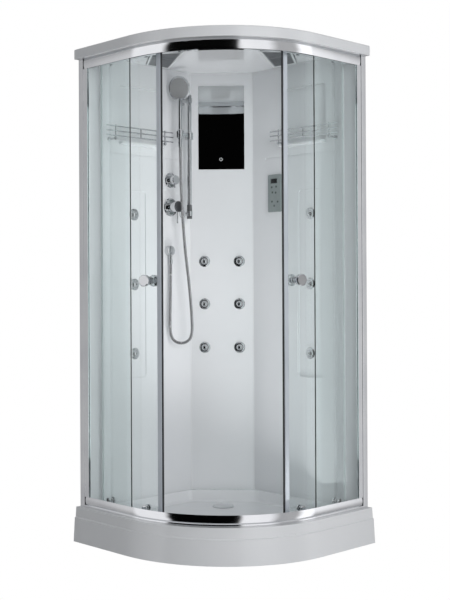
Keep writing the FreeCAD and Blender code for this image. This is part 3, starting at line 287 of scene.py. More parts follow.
def makeGlass():
    # light from the lamps and the walls passes straight through; the eye sees real glass
    material, tree, shader = baseMaterial("clearGlass")
    marks = placeGroup(tree, polishMarks, {"Scale": 2.0, "Roughness": 0.012, "Smear": 0.02, "Ripple": 1.0})
    tree.links.new(toneRamp(tree, marks.outputs["Tone"], glass["dark"], glass["light"]),
                   shader.inputs["Base Color"])
    tree.links.new(marks.outputs["Roughness"], shader.inputs["Roughness"])
    shader.inputs["Transmission Weight"].default_value = 1.0
    shader.inputs["IOR"].default_value = glass["ior"]
    clear = tree.nodes.new("ShaderNodeBsdfTransparent")
    clear.inputs["Color"].default_value = (*glass["seeThrough"], 1.0)
    rays = tree.nodes.new("ShaderNodeLightPath")
    either = mathNode(tree, "MAXIMUM", rays.outputs["Is Shadow Ray"], rays.outputs["Is Diffuse Ray"])
    mix = tree.nodes.new("ShaderNodeMixShader")
    tree.links.new(either, mix.inputs["Fac"])
    tree.links.new(shader.outputs["BSDF"], mix.inputs[1])
    tree.links.new(clear.outputs["BSDF"], mix.inputs[2])
    tree.links.new(mix.outputs["Shader"], tree.nodes["Material Output"].inputs["Surface"])
    return material


def makePlastic(name, dark, light, roughness, spread=0.12, fine=900.0, bump=0.00004, coat=0.0):
    material, tree, shader = baseMaterial(name)
    grain = placeGroup(tree, castGrain, {"Fine": fine, "Cloud": 11.0, "Roughness": roughness,
                                         "Spread": spread})
    tree.links.new(toneRamp(tree, grain.outputs["Tone"], dark, light), shader.inputs["Base Color"])
    tree.links.new(grain.outputs["Roughness"], shader.inputs["Roughness"])
    shader.inputs["Coat Weight"].default_value = coat
    addBump(tree, shader, grain.outputs["Height"], bump, 0.6)
    return material


def makeGalvanised():
    # zinc spangle in flat patches
    material, tree, shader = baseMaterial("galvanisedSteel")
    spot = tree.nodes.new("ShaderNodeTexCoord")
    cells = tree.nodes.new("ShaderNodeTexVoronoi")
    cells.inputs["Scale"].default_value = 90.0
    tree.links.new(spot.outputs["Object"], cells.inputs["Vector"])
    split = tree.nodes.new("ShaderNodeSeparateColor")
    tree.links.new(cells.outputs["Color"], split.inputs["Color"])
    tree.links.new(toneRamp(tree, split.outputs[0], galvanised["dark"], galvanised["light"], 0.0, 1.0),
                   shader.inputs["Base Color"])
    grain = placeGroup(tree, castGrain, {"Fine": 500.0, "Cloud": 9.0, "Roughness": galvanised["roughness"],
                                         "Spread": 0.2})
    tree.links.new(grain.outputs["Roughness"], shader.inputs["Roughness"])
    shader.inputs["Metallic"].default_value = 1.0
    addBump(tree, shader, grain.outputs["Height"], 0.00005, 0.5)
    return material


finishes = {
    "acrylic": makeAcrylic(),
    "glass": makeGlass(),
    "plating": makeMetal("polishedPlating", plating, 0.06, 12.0),
    "rail": makeMetal("polishedRail", railMetal, 0.07, 7.0),
    "stile": makeMetal("satinStile", stileMetal, 0.08, 7.0, metallic=0.35),
    "hose": makeMetal("hoseMetal", hoseMetal, 0.08, 30.0, metallic=0.8),
    "sleeve": makeMetal("sleeveGrey", sleeveMetal, 0.08, 20.0, metallic=0.7),
    "mirror": makeMetal("mirrorSilver", silver, 0.01, 2.0, 0.00001),
    "galvanised": makeGalvanised(),
    "dark": makePlastic("darkPlastic", (0.035, 0.038, 0.042), (0.07, 0.073, 0.078), 0.42),
    "grille": makePlastic("grilleGrey", (0.10, 0.11, 0.12), (0.16, 0.17, 0.18), 0.4),
    "rubber": makePlastic("blackRubber", (0.012, 0.012, 0.014), (0.03, 0.03, 0.033), 0.5),
    "seal": makePlastic("clearSeal", (0.62, 0.67, 0.68), (0.72, 0.77, 0.78), 0.3, coat=0.3),
    "nylon": makePlastic("whiteNylon", (0.70, 0.70, 0.67), (0.80, 0.80, 0.77), 0.35),
    "pipe": makePlastic("pipeGrey", (0.45, 0.46, 0.47), (0.55, 0.56, 0.57), 0.42),
    "panelGrey": makePlastic("panelGrey", (0.22, 0.255, 0.255), (0.28, 0.315, 0.315), 0.3, coat=0.3),
    "panelKey": makePlastic("panelKey", (0.05, 0.07, 0.07), (0.09, 0.11, 0.11), 0.32, coat=0.4),
    "display": makePlastic("displayBlack", (0.001, 0.001, 0.0015), (0.003, 0.003, 0.0035), 0.35),
    "lamp": makePlastic("lampOpal", (0.62, 0.65, 0.66), (0.72, 0.74, 0.75), 0.3, coat=0.4),
    "sprayFace": makePlastic("sprayFace", (0.36, 0.365, 0.37), (0.43, 0.435, 0.44), 0.3, coat=0.4),
    "sprayDot": makePlastic("sprayDot", (0.035, 0.036, 0.04), (0.06, 0.062, 0.066), 0.5),
    "sealant": makePlastic("sealant", (0.70, 0.71, 0.72), (0.76, 0.77, 0.78), 0.35, coat=0.2),
}
print("finishes made:", len(finishes))

nodeFinish = {
    "tray": "acrylic", "left_wall": "acrylic", "right_wall": "acrylic", "centre_panel": "acrylic",
    "roof": "acrylic", "tray_frame": "galvanised", "levelling_feet": "galvanised", "waste_trap": "pipe",
    "drain_cover": "plating", "mirror": "mirror", "ceiling_grilles": "grille", "fan_housing": "dark",
    "fan_rotor": "dark", "speaker_driver": "dark", "top_rail": "rail", "bottom_rail": "rail",
    "jamb_profiles": "rail", "fixed_glass_panels": "glass", "jet_rings": "plating", "riser_rail": "plating",
    "slider": "plating", "cradle": "plating", "handset": "plating", "valve_escutcheons": "plating",
    "diverter_knob": "plating", "mixer_knob": "plating", "wall_elbow": "plating", "gallery_rails": "plating",
    "control_panel": "panelGrey", "steam_generator": "galvanised", "water_pipes": "pipe",
}
for side in ("left", "right"):
    nodeFinish.update({
        side + "_door_glass": "glass", side + "_door_stile": "stile", side + "_magnet_seal": "rubber",
        side + "_rear_seal": "seal", side + "_door_knob": "plating", side + "_door_carriers": "plating",
        side + "_front_wheel": "nylon", side + "_rear_wheel": "nylon"})

for name, piece in nodes.items():
    finish = nodeFinish.get(name, "plating" if name.endswith("_nozzle") else None)
    if finish is None:
        continue
    piece.data.materials.clear()
    piece.data.materials.append(finishes[finish])
print("frame pieces finished")


def dress(piece, finish, body):
    piece.data.materials.clear()
    piece.data.materials.append(finishes[finish])
    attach(piece, body)
    return piece


# The hose follows the same route as its solid; a wound metal cover runs along it.
hoseCover = {"diameter": 0.014, "pitch": 0.0036, "ridge": 0.05, "step": 0.0009, "sides": 20}
hoseRoute = [
    (-0.189907, 0.332326, 1.7395), (-0.1885, 0.331, 1.600), (-0.182, 0.328, 1.440), (-0.170, 0.326, 1.272),
    (-0.151, 0.323, 1.105), (-0.139, 0.320, 0.952), (-0.139, 0.319, 0.8693), (-0.1683, 0.319, 0.840),
    (-0.2097, 0.319, 0.840), (-0.239, 0.319, 0.8693), (-0.241, 0.315, 0.952), (-0.2385, 0.305, 1.085),
    (-0.236881, 0.300520, 1.2045)]


def makeHose():
    curve = bpy.data.curves.new("hoseLine", "CURVE")
    curve.dimensions = "3D"
    spline = curve.splines.new("NURBS")
    spline.points.add(len(hoseRoute) - 1)
    for point, (x, depth, z) in zip(spline.points, hoseRoute):
        point.co = (x, corner - depth, z, 1.0)
    spline.order_u = 3
    spline.use_endpoint_u = True
    spline.resolution_u = 24
    line = addObject("hoseLine", curve)
    plain = evaluatedMesh(line)

    tree = bpy.data.node_groups.new("woundCover", "GeometryNodeTree")
    tree.interface.new_socket(name="Line", in_out="INPUT", socket_type="NodeSocketGeometry")
    for title, value in (("Radius", hoseCover["diameter"] / 2), ("Pitch", hoseCover["pitch"]),
                         ("Ridge", hoseCover["ridge"]), ("Step", hoseCover["step"])):
        socket = tree.interface.new_socket(name=title, in_out="INPUT", socket_type="NodeSocketFloat")
        socket.default_value = value
    tree.interface.new_socket(name="Cover", in_out="OUTPUT", socket_type="NodeSocketGeometry")
    enter = tree.nodes.new("NodeGroupInput")
    leave = tree.nodes.new("NodeGroupOutput")
    resample = tree.nodes.new("GeometryNodeResampleCurve")
    resample.mode = "LENGTH"
    tree.links.new(enter.outputs["Line"], resample.inputs["Curve"])
    tree.links.new(enter.outputs["Step"], resample.inputs["Length"])
    along = tree.nodes.new("GeometryNodeSplineParameter")
    turns = mathNode(tree, "DIVIDE", along.outputs["Length"], enter.outputs["Pitch"])
    phase = mathNode(tree, "MULTIPLY", turns, 2 * math.pi)
    wave = mathNode(tree, "MULTIPLY_ADD", mathNode(tree, "SINE", phase), enter.outputs["Ridge"],
                    1.0 - hoseCover["ridge"])
    setRadius = tree.nodes.new("GeometryNodeSetCurveRadius")
    tree.links.new(resample.outputs["Curve"], setRadius.inputs["Curve"])
    tree.links.new(wave, setRadius.inputs["Radius"])
    ring = tree.nodes.new("GeometryNodeCurvePrimitiveCircle")
    ring.inputs["Resolution"].default_value = hoseCover["sides"]
    tree.links.new(enter.outputs["Radius"], ring.inputs["Radius"])
    sweep = tree.nodes.new("GeometryNodeCurveToMesh")
    tree.links.new(setRadius.outputs["Curve"], sweep.inputs["Curve"])
    tree.links.new(ring.outputs["Curve"], sweep.inputs["Profile Curve"])
    sweep.inputs["Fill Caps"].default_value = True
    smooth = tree.nodes.new("GeometryNodeSetShadeSmooth")
    tree.links.new(sweep.outputs["Mesh"], smooth.inputs["Geometry"])
    real = tree.nodes.new("GeometryNodeRealizeInstances")
    tree.links.new(smooth.outputs["Geometry"], real.inputs["Geometry"])
    paint = tree.nodes.new("GeometryNodeSetMaterial")
    paint.inputs["Material"].default_value = finishes["hose"]
    tree.links.new(real.outputs["Geometry"], paint.inputs["Geometry"])
    tree.links.new(paint.outputs["Geometry"], leave.inputs["Cover"])

    wrap = line.modifiers.new("cover", "NODES")
    wrap.node_group = tree
    result = evaluatedMesh(line)
    bpy.data.objects.remove(line)
    hose = addObject("hoseCover", result)
    dress(hose, "hose", "cabin")
    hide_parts("hose")


makeHose()


# Places on the cabin: t runs along a side wall from the back corner, o is the
# distance from its outer plane, side is 1 for the right wall and -1 for the left.
def wallPoint(t, o, z, side=1):
    return Vector((side * (t - o) / rootTwo / 1000, corner - (t + o) / rootTwo / 1000, z / 1000))


def wallMatrix(t, o, z, side=1):
    # local X runs level along the wall, Y up and Z into the room
    inward = Vector((-side, -1, 0)).normalized()
    level = Vector((0, 0, 1)).cross(inward)
    matrix = Matrix((level, (0, 0, 1), inward)).transposed().to_4x4()
    matrix.translation = wallPoint(t, o, z, side)
    return matrix


def facing(place, direction):
    matrix = Vector(direction).to_track_quat("Z", "Y").to_matrix().to_4x4()
    matrix.translation = place
    return matrix


def plate(width, height, thick, corner=2.0, edge=0.4, steps=6):
    # rounded plate in millimetres, its back on the XY plane
    def outline(inset):
        radius = max(corner - inset, 0.05)
        reachX, reachY = width / 2 - inset - radius, height / 2 - inset - radius
        points = []
        for index, (sx, sy) in enumerate(((1, 1), (-1, 1), (-1, -1), (1, -1))):
            for k in range(steps + 1):
                angle = math.pi / 2 * (index + k / steps)
                points.append((sx * reachX + radius * math.cos(angle),
                               sy * reachY + radius * math.sin(angle)))
        return points

    layers = [(0.0, 0.0), (0.0, thick - edge), (edge * 0.3, thick - edge * 0.3), (edge, thick)]
    points = [(x / 1000, y / 1000, height / 1000) for inset, height in layers for x, y in outline(inset)]
    count = 4 * (steps + 1)
    faces = [tuple(reversed(range(count))), tuple(range(3 * count, 4 * count))]
    for low in (0, count, 2 * count):
        high = low + count
        for k in range(count):
            n = (k + 1) % count
            faces.append((low + k, low + n, high + n, high + k))
    return points, faces


def moved(part, matrix):
    points, faces = part
    return [matrix @ Vector(p) for p in points], faces


def addPiece(name, parts, finish, body, degrees=35.0):
    points, faces = joined(parts)
    return dress(addObject(name, meshFrom(name, points, faces, degrees)), finish, body)


# Curved CAD pieces are shown by merged copies, shaded smooth over their curves.
smoothNodes = {"angle": 32.0, "merge": 0.00002}


def smoothCopy(node, body, degrees=None):
    source = nodes[node]
    work = bmesh.new()
    work.from_mesh(source.data)
    bmesh.ops.remove_doubles(work, verts=work.verts, dist=smoothNodes["merge"])
    mesh = bpy.data.meshes.new(node + "Smooth")
    work.to_mesh(mesh)
    work.free()
    smoothByAngle(mesh, degrees or smoothNodes["angle"])
    for material in source.data.materials:
        mesh.materials.append(material)
    holder = addObject(node + "Smooth", mesh)
    holder.modifiers.new("even", "WEIGHTED_NORMAL").keep_sharp = True
    plain = evaluatedMesh(holder)
    holder.modifiers.clear()
    holder.data = plain
    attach(holder, body)
    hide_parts(node)
    return holder


bodyOf = {node: body for body, names in frame["record"]["behaviour"]["bodies"].items() for node in names}
for node in nodes:
    if node in ("hose", "tray_frame", "mirror"):
        continue
    smoothCopy(node, bodyOf[node])
print("smooth copies made")


# Geometry Nodes trees for what repeats.
def geometryTree(name, inputs):
    tree = bpy.data.node_groups.new(name, "GeometryNodeTree")
    tree.interface.new_socket(name="Places", in_out="INPUT", socket_type="NodeSocketGeometry")
    for title, kind, value in inputs:
        socket = tree.interface.new_socket(name=title, in_out="INPUT", socket_type=kind)
        if value is not None:
            socket.default_value = value
    tree.interface.new_socket(name="Result", in_out="OUTPUT", socket_type="NodeSocketGeometry")
    return tree, tree.nodes.new("NodeGroupInput"), tree.nodes.new("NodeGroupOutput")


def closeTree(tree, enter, leave, geometry):
    real = tree.nodes.new("GeometryNodeRealizeInstances")
    tree.links.new(geometry, real.inputs["Geometry"])
    paint = tree.nodes.new("GeometryNodeSetMaterial")
    tree.links.new(real.outputs["Geometry"], paint.inputs["Geometry"])
    tree.links.new(enter.outputs["Finish"], paint.inputs["Material"])
    tree.links.new(paint.outputs["Geometry"], leave.inputs["Result"])


def runTree(tree, name, places, values):
    mesh = bpy.data.meshes.new(name)
    mesh.from_pydata([tuple(p) for p in places], [], [])
    holder = addObject(name, mesh)
    modifier = holder.modifiers.new("make", "NODES")
    modifier.node_group = tree
    for item in tree.interface.items_tree:
        if item.in_out == "INPUT" and item.name in values:
            modifier[item.identifier] = values[item.name]
    result = evaluatedMesh(holder)
    bpy.data.objects.remove(holder)
    return result


def makeDotsTree():
    # small domes on rings of 6, 12, 18 and so on round a middle one
    tree, enter, leave = geometryTree("sprayDots", [
        ("Count", "NodeSocketInt", 127), ("Pitch", "NodeSocketFloat", 0.007),
        ("Dot", "NodeSocketFloat", 0.0015), ("Crown", "NodeSocketFloat", 0.5),
        ("Finish", "NodeSocketMaterial", None)])
    index = tree.nodes.new("GeometryNodeInputIndex").outputs[0]
    root = mathNode(tree, "SQRT", mathNode(tree, "MULTIPLY_ADD", index, 12.0, 9.0))
    ring = mathNode(tree, "CEIL", mathNode(tree, "DIVIDE", mathNode(tree, "SUBTRACT", root, 3.0), 6.0))
    inside = mathNode(tree, "SUBTRACT", ring, 1.0)
    before = mathNode(tree, "MULTIPLY", mathNode(tree, "MULTIPLY", ring, 3.0), inside)
    place = mathNode(tree, "SUBTRACT", mathNode(tree, "SUBTRACT", index, before), 1.0)
    onRing = mathNode(tree, "MAXIMUM", mathNode(tree, "MULTIPLY", ring, 6.0), 1.0)
    share = mathNode(tree, "DIVIDE", place, onRing)
    angle = mathNode(tree, "MULTIPLY", share, 2 * math.pi)
    reach = mathNode(tree, "MULTIPLY", ring, enter.outputs["Pitch"])
    spot = tree.nodes.new("ShaderNodeCombineXYZ")
    tree.links.new(mathNode(tree, "MULTIPLY", reach, mathNode(tree, "COSINE", angle)), spot.inputs["X"])
    tree.links.new(mathNode(tree, "MULTIPLY", reach, mathNode(tree, "SINE", angle)), spot.inputs["Y"])
    drop = mathNode(tree, "MULTIPLY", mathNode(tree, "MULTIPLY", reach, reach), enter.outputs["Crown"])
    tree.links.new(mathNode(tree, "MULTIPLY", drop, -1.0), spot.inputs["Z"])
    points = tree.nodes.new("GeometryNodePoints")
    tree.links.new(enter.outputs["Count"], points.inputs["Count"])
    tree.links.new(spot.outputs["Vector"], points.inputs["Position"])
    dome = tree.nodes.new("GeometryNodeMeshUVSphere")
    dome.inputs["Segments"].default_value = 8
    dome.inputs["Rings"].default_value = 5
    tree.links.new(enter.outputs["Dot"], dome.inputs["Radius"])
    smooth = tree.nodes.new("GeometryNodeSetShadeSmooth")
    tree.links.new(dome.outputs["Mesh"], smooth.inputs["Geometry"])
    spread = tree.nodes.new("GeometryNodeInstanceOnPoints")
    tree.links.new(points.outputs[0], spread.inputs["Points"])
    tree.links.new(smooth.outputs["Geometry"], spread.inputs["Instance"])
    closeTree(tree, enter, leave, spread.outputs["Instances"])
    return tree


def makeThreadTree():
    # a wound thread standing on each place
    tree, enter, leave = geometryTree("studThread", [
        ("Radius", "NodeSocketFloat", 0.005), ("Pitch", "NodeSocketFloat", 0.0016),
        ("Height", "NodeSocketFloat", 0.04), ("Ridge", "NodeSocketFloat", 0.0006),
        ("Finish", "NodeSocketMaterial", None)])
    spiral = tree.nodes.new("GeometryNodeCurveSpiral")
    spiral.inputs["Resolution"].default_value = 14
    tree.links.new(mathNode(tree, "DIVIDE", enter.outputs["Height"], enter.outputs["Pitch"]),
                   spiral.inputs["Rotations"])
    for title in ("Start Radius", "End Radius"):
        tree.links.new(enter.outputs["Radius"], spiral.inputs[title])
    tree.links.new(enter.outputs["Height"], spiral.inputs["Height"])
    ring = tree.nodes.new("GeometryNodeCurvePrimitiveCircle")
    ring.inputs["Resolution"].default_value = 4
    tree.links.new(enter.outputs["Ridge"], ring.inputs["Radius"])
    sweep = tree.nodes.new("GeometryNodeCurveToMesh")
    tree.links.new(spiral.outputs["Curve"], sweep.inputs["Curve"])
    tree.links.new(ring.outputs["Curve"], sweep.inputs["Profile Curve"])
    sweep.inputs["Fill Caps"].default_value = True
    spread = tree.nodes.new("GeometryNodeInstanceOnPoints")
    tree.links.new(enter.outputs["Places"], spread.inputs["Points"])
    tree.links.new(sweep.outputs["Mesh"], spread.inputs["Instance"])
    closeTree(tree, enter, leave, spread.outputs["Instances"])
    return tree


def makeRowsTree():
    # bars or slots in rows and columns, lying on the XY plane
    tree, enter, leave = geometryTree("slotRows", [
        ("Columns", "NodeSocketInt", 2), ("Rows", "NodeSocketInt", 6), ("Step X", "NodeSocketFloat", 0.05),
        ("Step Y", "NodeSocketFloat", 0.01), ("Size", "NodeSocketVector", (0.04, 0.004, 0.001)),
        ("Finish", "NodeSocketMaterial", None)])
    grid = tree.nodes.new("GeometryNodeMeshGrid")
    tree.links.new(enter.outputs["Columns"], grid.inputs["Vertices X"])
    tree.links.new(enter.outputs["Rows"], grid.inputs["Vertices Y"])
    for axis, count in (("X", "Columns"), ("Y", "Rows")):
        span = mathNode(tree, "MULTIPLY", enter.outputs["Step " + axis],
                        mathNode(tree, "SUBTRACT", enter.outputs[count], 1.0))
        tree.links.new(span, grid.inputs["Size " + axis])
    cube = tree.nodes.new("GeometryNodeMeshCube")
    tree.links.new(enter.outputs["Size"], cube.inputs["Size"])
    spread = tree.nodes.new("GeometryNodeInstanceOnPoints")
    tree.links.new(grid.outputs["Mesh"], spread.inputs["Points"])
    tree.links.new(cube.outputs["Mesh"], spread.inputs["Instance"])
    closeTree(tree, enter, leave, spread.outputs["Instances"])
    return tree


dotsTree = makeDotsTree()
threadTree = makeThreadTree()
rowsTree = makeRowsTree()


def treePiece(tree, name, places, values, matrix, finish, body):
    mesh = runTree(tree, name, places, dict(values, Finish=finishes[finish]))
    mesh.transform(matrix)
    return dress(addObject(name, mesh), finish, body)


# Spray face of the handset.
spray = {"foot": (-0.189907, 0.197674, 1.8), "rise": 0.212, "tilt": 12.0, "armTurn": 30.0, "radius": 0.0483,
         "count": 91, "pitch": 0.0086, "dot": 0.0019, "crown": 0.45, "seat": 0.002, "front": 0.0128}


def makeSprayFace():
    turn, tilt = math.radians(spray["armTurn"]), math.radians(spray["tilt"])
    arm = Vector((-math.sin(turn), -math.cos(turn), 0))
    axis = arm * math.cos(tilt) - Vector((0, 0, 1)) * math.sin(tilt)
    centre = Vector(spray["foot"]) + Vector((0, 0, spray["rise"])) - axis * spray["seat"]
    outline = [(0, 0.0130), (0.026, 0.0127), (0.044, 0.0121), (0.0477, 0.0118), (spray["radius"], 0.0113),
               (spray["radius"], 0.0108), (0, 0.0108)]
    face = turnOnAxis(outline, centre, axis, 64)
    addPiece("sprayPlate", [face], "sprayFace", "handset_body")
    treePiece(dotsTree, "sprayNozzles", [(0, 0, 0)],
              {"Count": spray["count"], "Pitch": spray["pitch"], "Dot": spray["dot"],
               "Crown": spray["crown"]},
              facing(centre + axis * spray["front"], axis), "sprayDot", "handset_body")


makeSprayFace()


# Display and membrane keys of the control panel, which is on the right wall.
panel = {"t": 380.5, "z": 1529.5, "face": 38.0, "display": (35.2, 18.7), "displayPlace": (-2.0, 56.25),
         "keys": [(-15, 28), (12, 29.5), (-11, 4), (9, 2), (21, -40), (-14, -38), (0, -58)],
         "keySize": 10.0, "keySunk": 0.05, "windowSunk": 0.98, "bar": 1.6}


def onPanel(part, x, y, sunk):
    return moved(part, wallMatrix(panel["t"] + x, panel["face"] - sunk, panel["z"] + y))


def makePanel():
    x, y = panel["displayPlace"]
    width, height = panel["display"]
    bar, sunk, size = panel["bar"], panel["keySunk"], panel["keySize"]
    window = onPanel(plate(width, height, 0.9, 0.8, 0.2), x, y, panel["windowSunk"])
    addPiece("panelDisplay", [window], "display", "cabin")
    above, beside = height / 2 + 1.4, width / 2 + 2.0
    bezel = [onPanel(plate(w, h, 0.45, 0.5, 0.15), x + dx, y + dy, sunk)
             for dx, dy, w, h in ((0, above, width + 5.6, bar), (0, -above, width + 5.6, bar),
                                  (beside, 0, bar, height + 1.2), (-beside, 0, bar, height + 1.2))]
    addPiece("panelBezel", bezel, "panelKey", "cabin")
    keys = [onPanel(plate(size, size, 0.5, size / 2 - 0.1, 0.3), x, y, sunk) for x, y in panel["keys"]]
    addPiece("panelKeys", keys, "panelKey", "cabin")


makePanel()


# Touch ring low on the mirror.
touch = {"place": (-0.002, 0.338, 1.700), "radius": 0.0075, "width": 0.0022}


def makeTouchRing():
    outer, inner = touch["radius"], touch["radius"] - touch["width"]
    outline = [(outer, -0.0002), (outer, 0.0003), (outer - 0.0003, 0.0005), (inner + 0.0003, 0.0005),
               (inner, 0.0003), (inner, -0.0002)]
    ring = turnOnAxis(outline, touch["place"], (0, -1, 0), 40)
    addPiece("mirrorTouchRing", [ring], "lamp", "cabin")


makeTouchRing()


# Dark grip of the mixer and dark sleeve of the riser's lower end.
valve = {"t": 367.0, "mixerZ": 1469.0, "gripStart": 85.0, "gripEnd": 90.9, "gripRadius": 25.6}
riser = {"place": (-0.149907, 0.266956), "bore": 0.0105, "radius": 0.0122, "low": 1.4152, "high": 1.481}


def makeSleeves():
    start, end, radius = (valve[k] / 1000 for k in ("gripStart", "gripEnd", "gripRadius"))
    base = wallPoint(valve["t"], 0, valve["mixerZ"], -1)
    outline = [(0, end - 0.002), (radius - 0.004, end - 0.002), (radius - 0.004, start),
               (radius - 0.001, start), (radius, start + 0.001), (radius, end - 0.003),
               (radius - 0.0015, end - 0.0012), (radius - 0.005, end - 0.0005), (0, end)]
    addPiece("mixerGrip", [turnOnAxis(outline, base, (1, -1, 0), 48)], "dark", "mixer")
    x, y = riser["place"]
    tall = riser["high"] - riser["low"]
    radius, bore = riser["radius"], riser["bore"]
    outline = [(bore, 0), (radius - 0.001, 0), (radius, 0.001), (radius, tall - 0.001),
               (radius - 0.001, tall), (bore, tall)]
    sleeve = turnOnAxis(outline, (x, y, riser["low"]), (0, 0, 1), 40)
    addPiece("riserSleeve", [sleeve], "sleeve", "cabin")


makeSleeves()


# Light frames of the two ceiling louvres.
louvre = {"corners": [(238.0, 342.0), (340.0, 430.0), (300.0, 672.0), (160.0, 690.0)], "edge": 1.0,
          "width": 9.0, "low": 2099.4, "high": 2101.2}


def insetCorners(corners, inset):
    centre = sum((Vector(c) for c in corners), Vector((0, 0))) / len(corners)
    lines = []
    for a, b in zip(corners, corners[1:] + corners[:1]):
        a, b = Vector(a), Vector(b)
        normal = Vector((a.y - b.y, b.x - a.x)).normalized()
        if normal.dot(centre - a) < 0:
            normal = -normal
        lines.append((a + normal * inset, b - a))
    result = []
    for (p, d), (q, e) in zip(lines[-1:] + lines[:-1], lines):
        k = ((q - p).x * e.y - (q - p).y * e.x) / (d.x * e.y - d.y * e.x)
        result.append(p + d * k)
    return result


def makeLouvreFrames():
    parts = []
    outside, inside = louvre["edge"], louvre["edge"] + louvre["width"]
    for side in (1, -1):
        rings = []
        for inset, z in ((outside, "high"), (outside, "low"), (inside, "low"), (inside, "high")):
            rings.append([Vector((side * x / 1000, corner - depth / 1000, louvre[z] / 1000))
                          for x, depth in insetCorners(louvre["corners"], inset)])
        points = [p for ring in rings for p in ring]
        faces = []
        for a in range(4):
            b = (a + 1) % 4
            for k in range(4):
                n = (k + 1) % 4
                faces.append((a * 4 + k, a * 4 + n, b * 4 + n, b * 4 + k))
        parts.append((points, faces))
    addPiece("louvreFrames", parts, "lamp", "cabin")


makeLouvreFrames()


# Dark end caps of the rails, beside the wall posts.
railCap = {"wallEnd": 900.0, "start": 36.2, "end": 39.0, "near": 19.2, "far": 50.0,
           "low": (150.0, 2042.0), "height": 45.0, "play": 0.6}


def makeRailCaps():
    parts = []
    middle = railCap["wallEnd"] - (railCap["near"] + railCap["far"]) / 2
    cap = plate(railCap["far"] - railCap["near"], railCap["height"] - railCap["play"],
                railCap["end"] - railCap["start"], 1.5, 0.4)
    for side in (1, -1):
        for low in railCap["low"]:
            matrix = wallMatrix(middle, railCap["start"], low + railCap["height"] / 2, side)
            parts.append(moved(cap, matrix))
    addPiece("railCaps", parts, "dark", "cabin")


makeRailCaps()


# Behind the panels: vents and screws of the steam generator, threads of the feet.
generator = {"back": 185.0, "depth": 85.0, "half": 68.0, "low": 190.0, "high": 490.0, "vents": 360.0,
             "screwIn": 10.0, "screwUp": 15.0, "gland": (-45.0, 225.0)}
footStud = {"inner": (200.0, (352.5, 877.5)), "outer": (312.5, (490.0, 760.0)), "low": 10.0}


def makeHiddenDetails():
    face = Vector((0, corner - (generator["back"] - generator["depth"]) / 1000, 0))
    turn = Matrix(((-1, 0, 0), (0, 0, 1), (0, 1, 0))).to_4x4()
    turn.translation = face + Vector((0, 0, generator["vents"] / 1000))
    treePiece(rowsTree, "generatorVents", [(0, 0, 0)],
              {"Columns": 2, "Rows": 7, "Step X": 0.052, "Step Y": 0.011, "Size": (0.042, 0.0045, 0.0012)},
              turn, "dark", "cabin")
    beside = (generator["half"] - generator["screwIn"]) / 1000
    heights = (generator["low"] + generator["screwUp"], generator["high"] - generator["screwUp"])
    head = [(0, 0.0022), (0.0025, 0.002), (0.0038, 0.0008), (0.0038, -0.001), (0, -0.001)]
    screws = [turnOnAxis(head, face + Vector((x, 0, z / 1000)), (0, 1, 0), 20)
              for x in (-beside, beside) for z in heights]
    nut = [(0, 0.016), (0.005, 0.016), (0.008, 0.012), (0.008, 0.007), (0.0105, 0.006), (0.0105, -0.001),
           (0, -0.001)]
    x, z = generator["gland"]
    gland = turnOnAxis(nut, face + Vector((x / 1000, 0, z / 1000)), (0, 1, 0), 24)
    addPiece("generatorFittings", screws + [gland], "dark", "cabin")
    places = [(side * x / 1000, corner - depth / 1000, footStud["low"] / 1000)
              for x, depths in (footStud["inner"], footStud["outer"]) for side in (-1, 1) for depth in depths]
    treePiece(threadTree, "footThreads", places,
              {"Radius": 0.005, "Pitch": 0.00175, "Height": 0.044, "Ridge": 0.00065},
              Matrix.Identity(4), "galvanised", "cabin")


makeHiddenDetails()


# Sealant beads where the panels meet each other and the tray.
bead = {"radius": 2.2, "wallStart": 240.0, "wallEnd": 848.0, "overlap": 1.3, "face": 30.0,
        "low": 138.0, "high": 2106.0}


def makeBeads():
    parts = []

    def run(start, end):
        radius = bead["radius"] / 1000
        length = (end - start).length
        outline = [(0, length), (radius, length), (radius, 0), (0, 0)]
        parts.append(turnOnAxis(outline, start, end - start, 10))

    face, low = bead["face"], bead["low"]
    joint = bead["wallStart"] - bead["overlap"]
    for side in (1, -1):
        run(wallPoint(bead["wallStart"], face, low, side), wallPoint(bead["wallEnd"], face, low, side))
        run(wallPoint(joint, face, low, side), wallPoint(joint, face, bead["high"], side))
    run(wallPoint(joint, face, low, 1), wallPoint(joint, face, low, -1))
    addPiece("sealantBeads", parts, "sealant", "cabin")


makeBeads()
print("fittings made")


# The floor and the light.
studio = {"floor": 0.62, "world": 0.29, "key": 152.0, "keyPlace": (2.4, -4.9, 1.9), "keySize": 3.2,
          "fill": 1.5, "fillPlace": (-3.2, -3.4, 2.2), "up": 2.4, "upPlace": (0.22, -0.12, 0.2),
          "inner": 0.85, "innerPlace": (0.05, -0.42, 1.25), "floorReach": 9.0,
          "windows": [(-180, 0.42), (-97, 0.42), (-89, 0.95), (-56, 0.95), (-50, 0.001), (14, 0.001),
                      (18, 1.0), (44, 1.0), (54, 0.45), (72, 0.45), (79, 1.25), (92, 1.25), (99, 0.42),
                      (180, 0.42)],
          "ceiling": (0.62, 0.63, 0.65), "ceilingFrom": 0.72, "ceilingFull": 0.84}


def rayKinds(tree):
    # rays of the eye, also through glass, and rays that a mirror sent, also through glass
    rays = tree.nodes.new("ShaderNodeLightPath")
    mirrored = mathNode(tree, "GREATER_THAN", rays.outputs["Glossy Depth"], 0.5)
    straight = mathNode(tree, "SUBTRACT", 1.0, mirrored)
    through = rays.outputs["Is Transmission Ray"]
    seen = mathNode(tree, "MAXIMUM", rays.outputs["Is Camera Ray"],
                    mathNode(tree, "MULTIPLY", through, straight))
    reflected = mathNode(tree, "MAXIMUM", rays.outputs["Is Glossy Ray"],
                         mathNode(tree, "MULTIPLY", through, mirrored))
    return seen, reflected


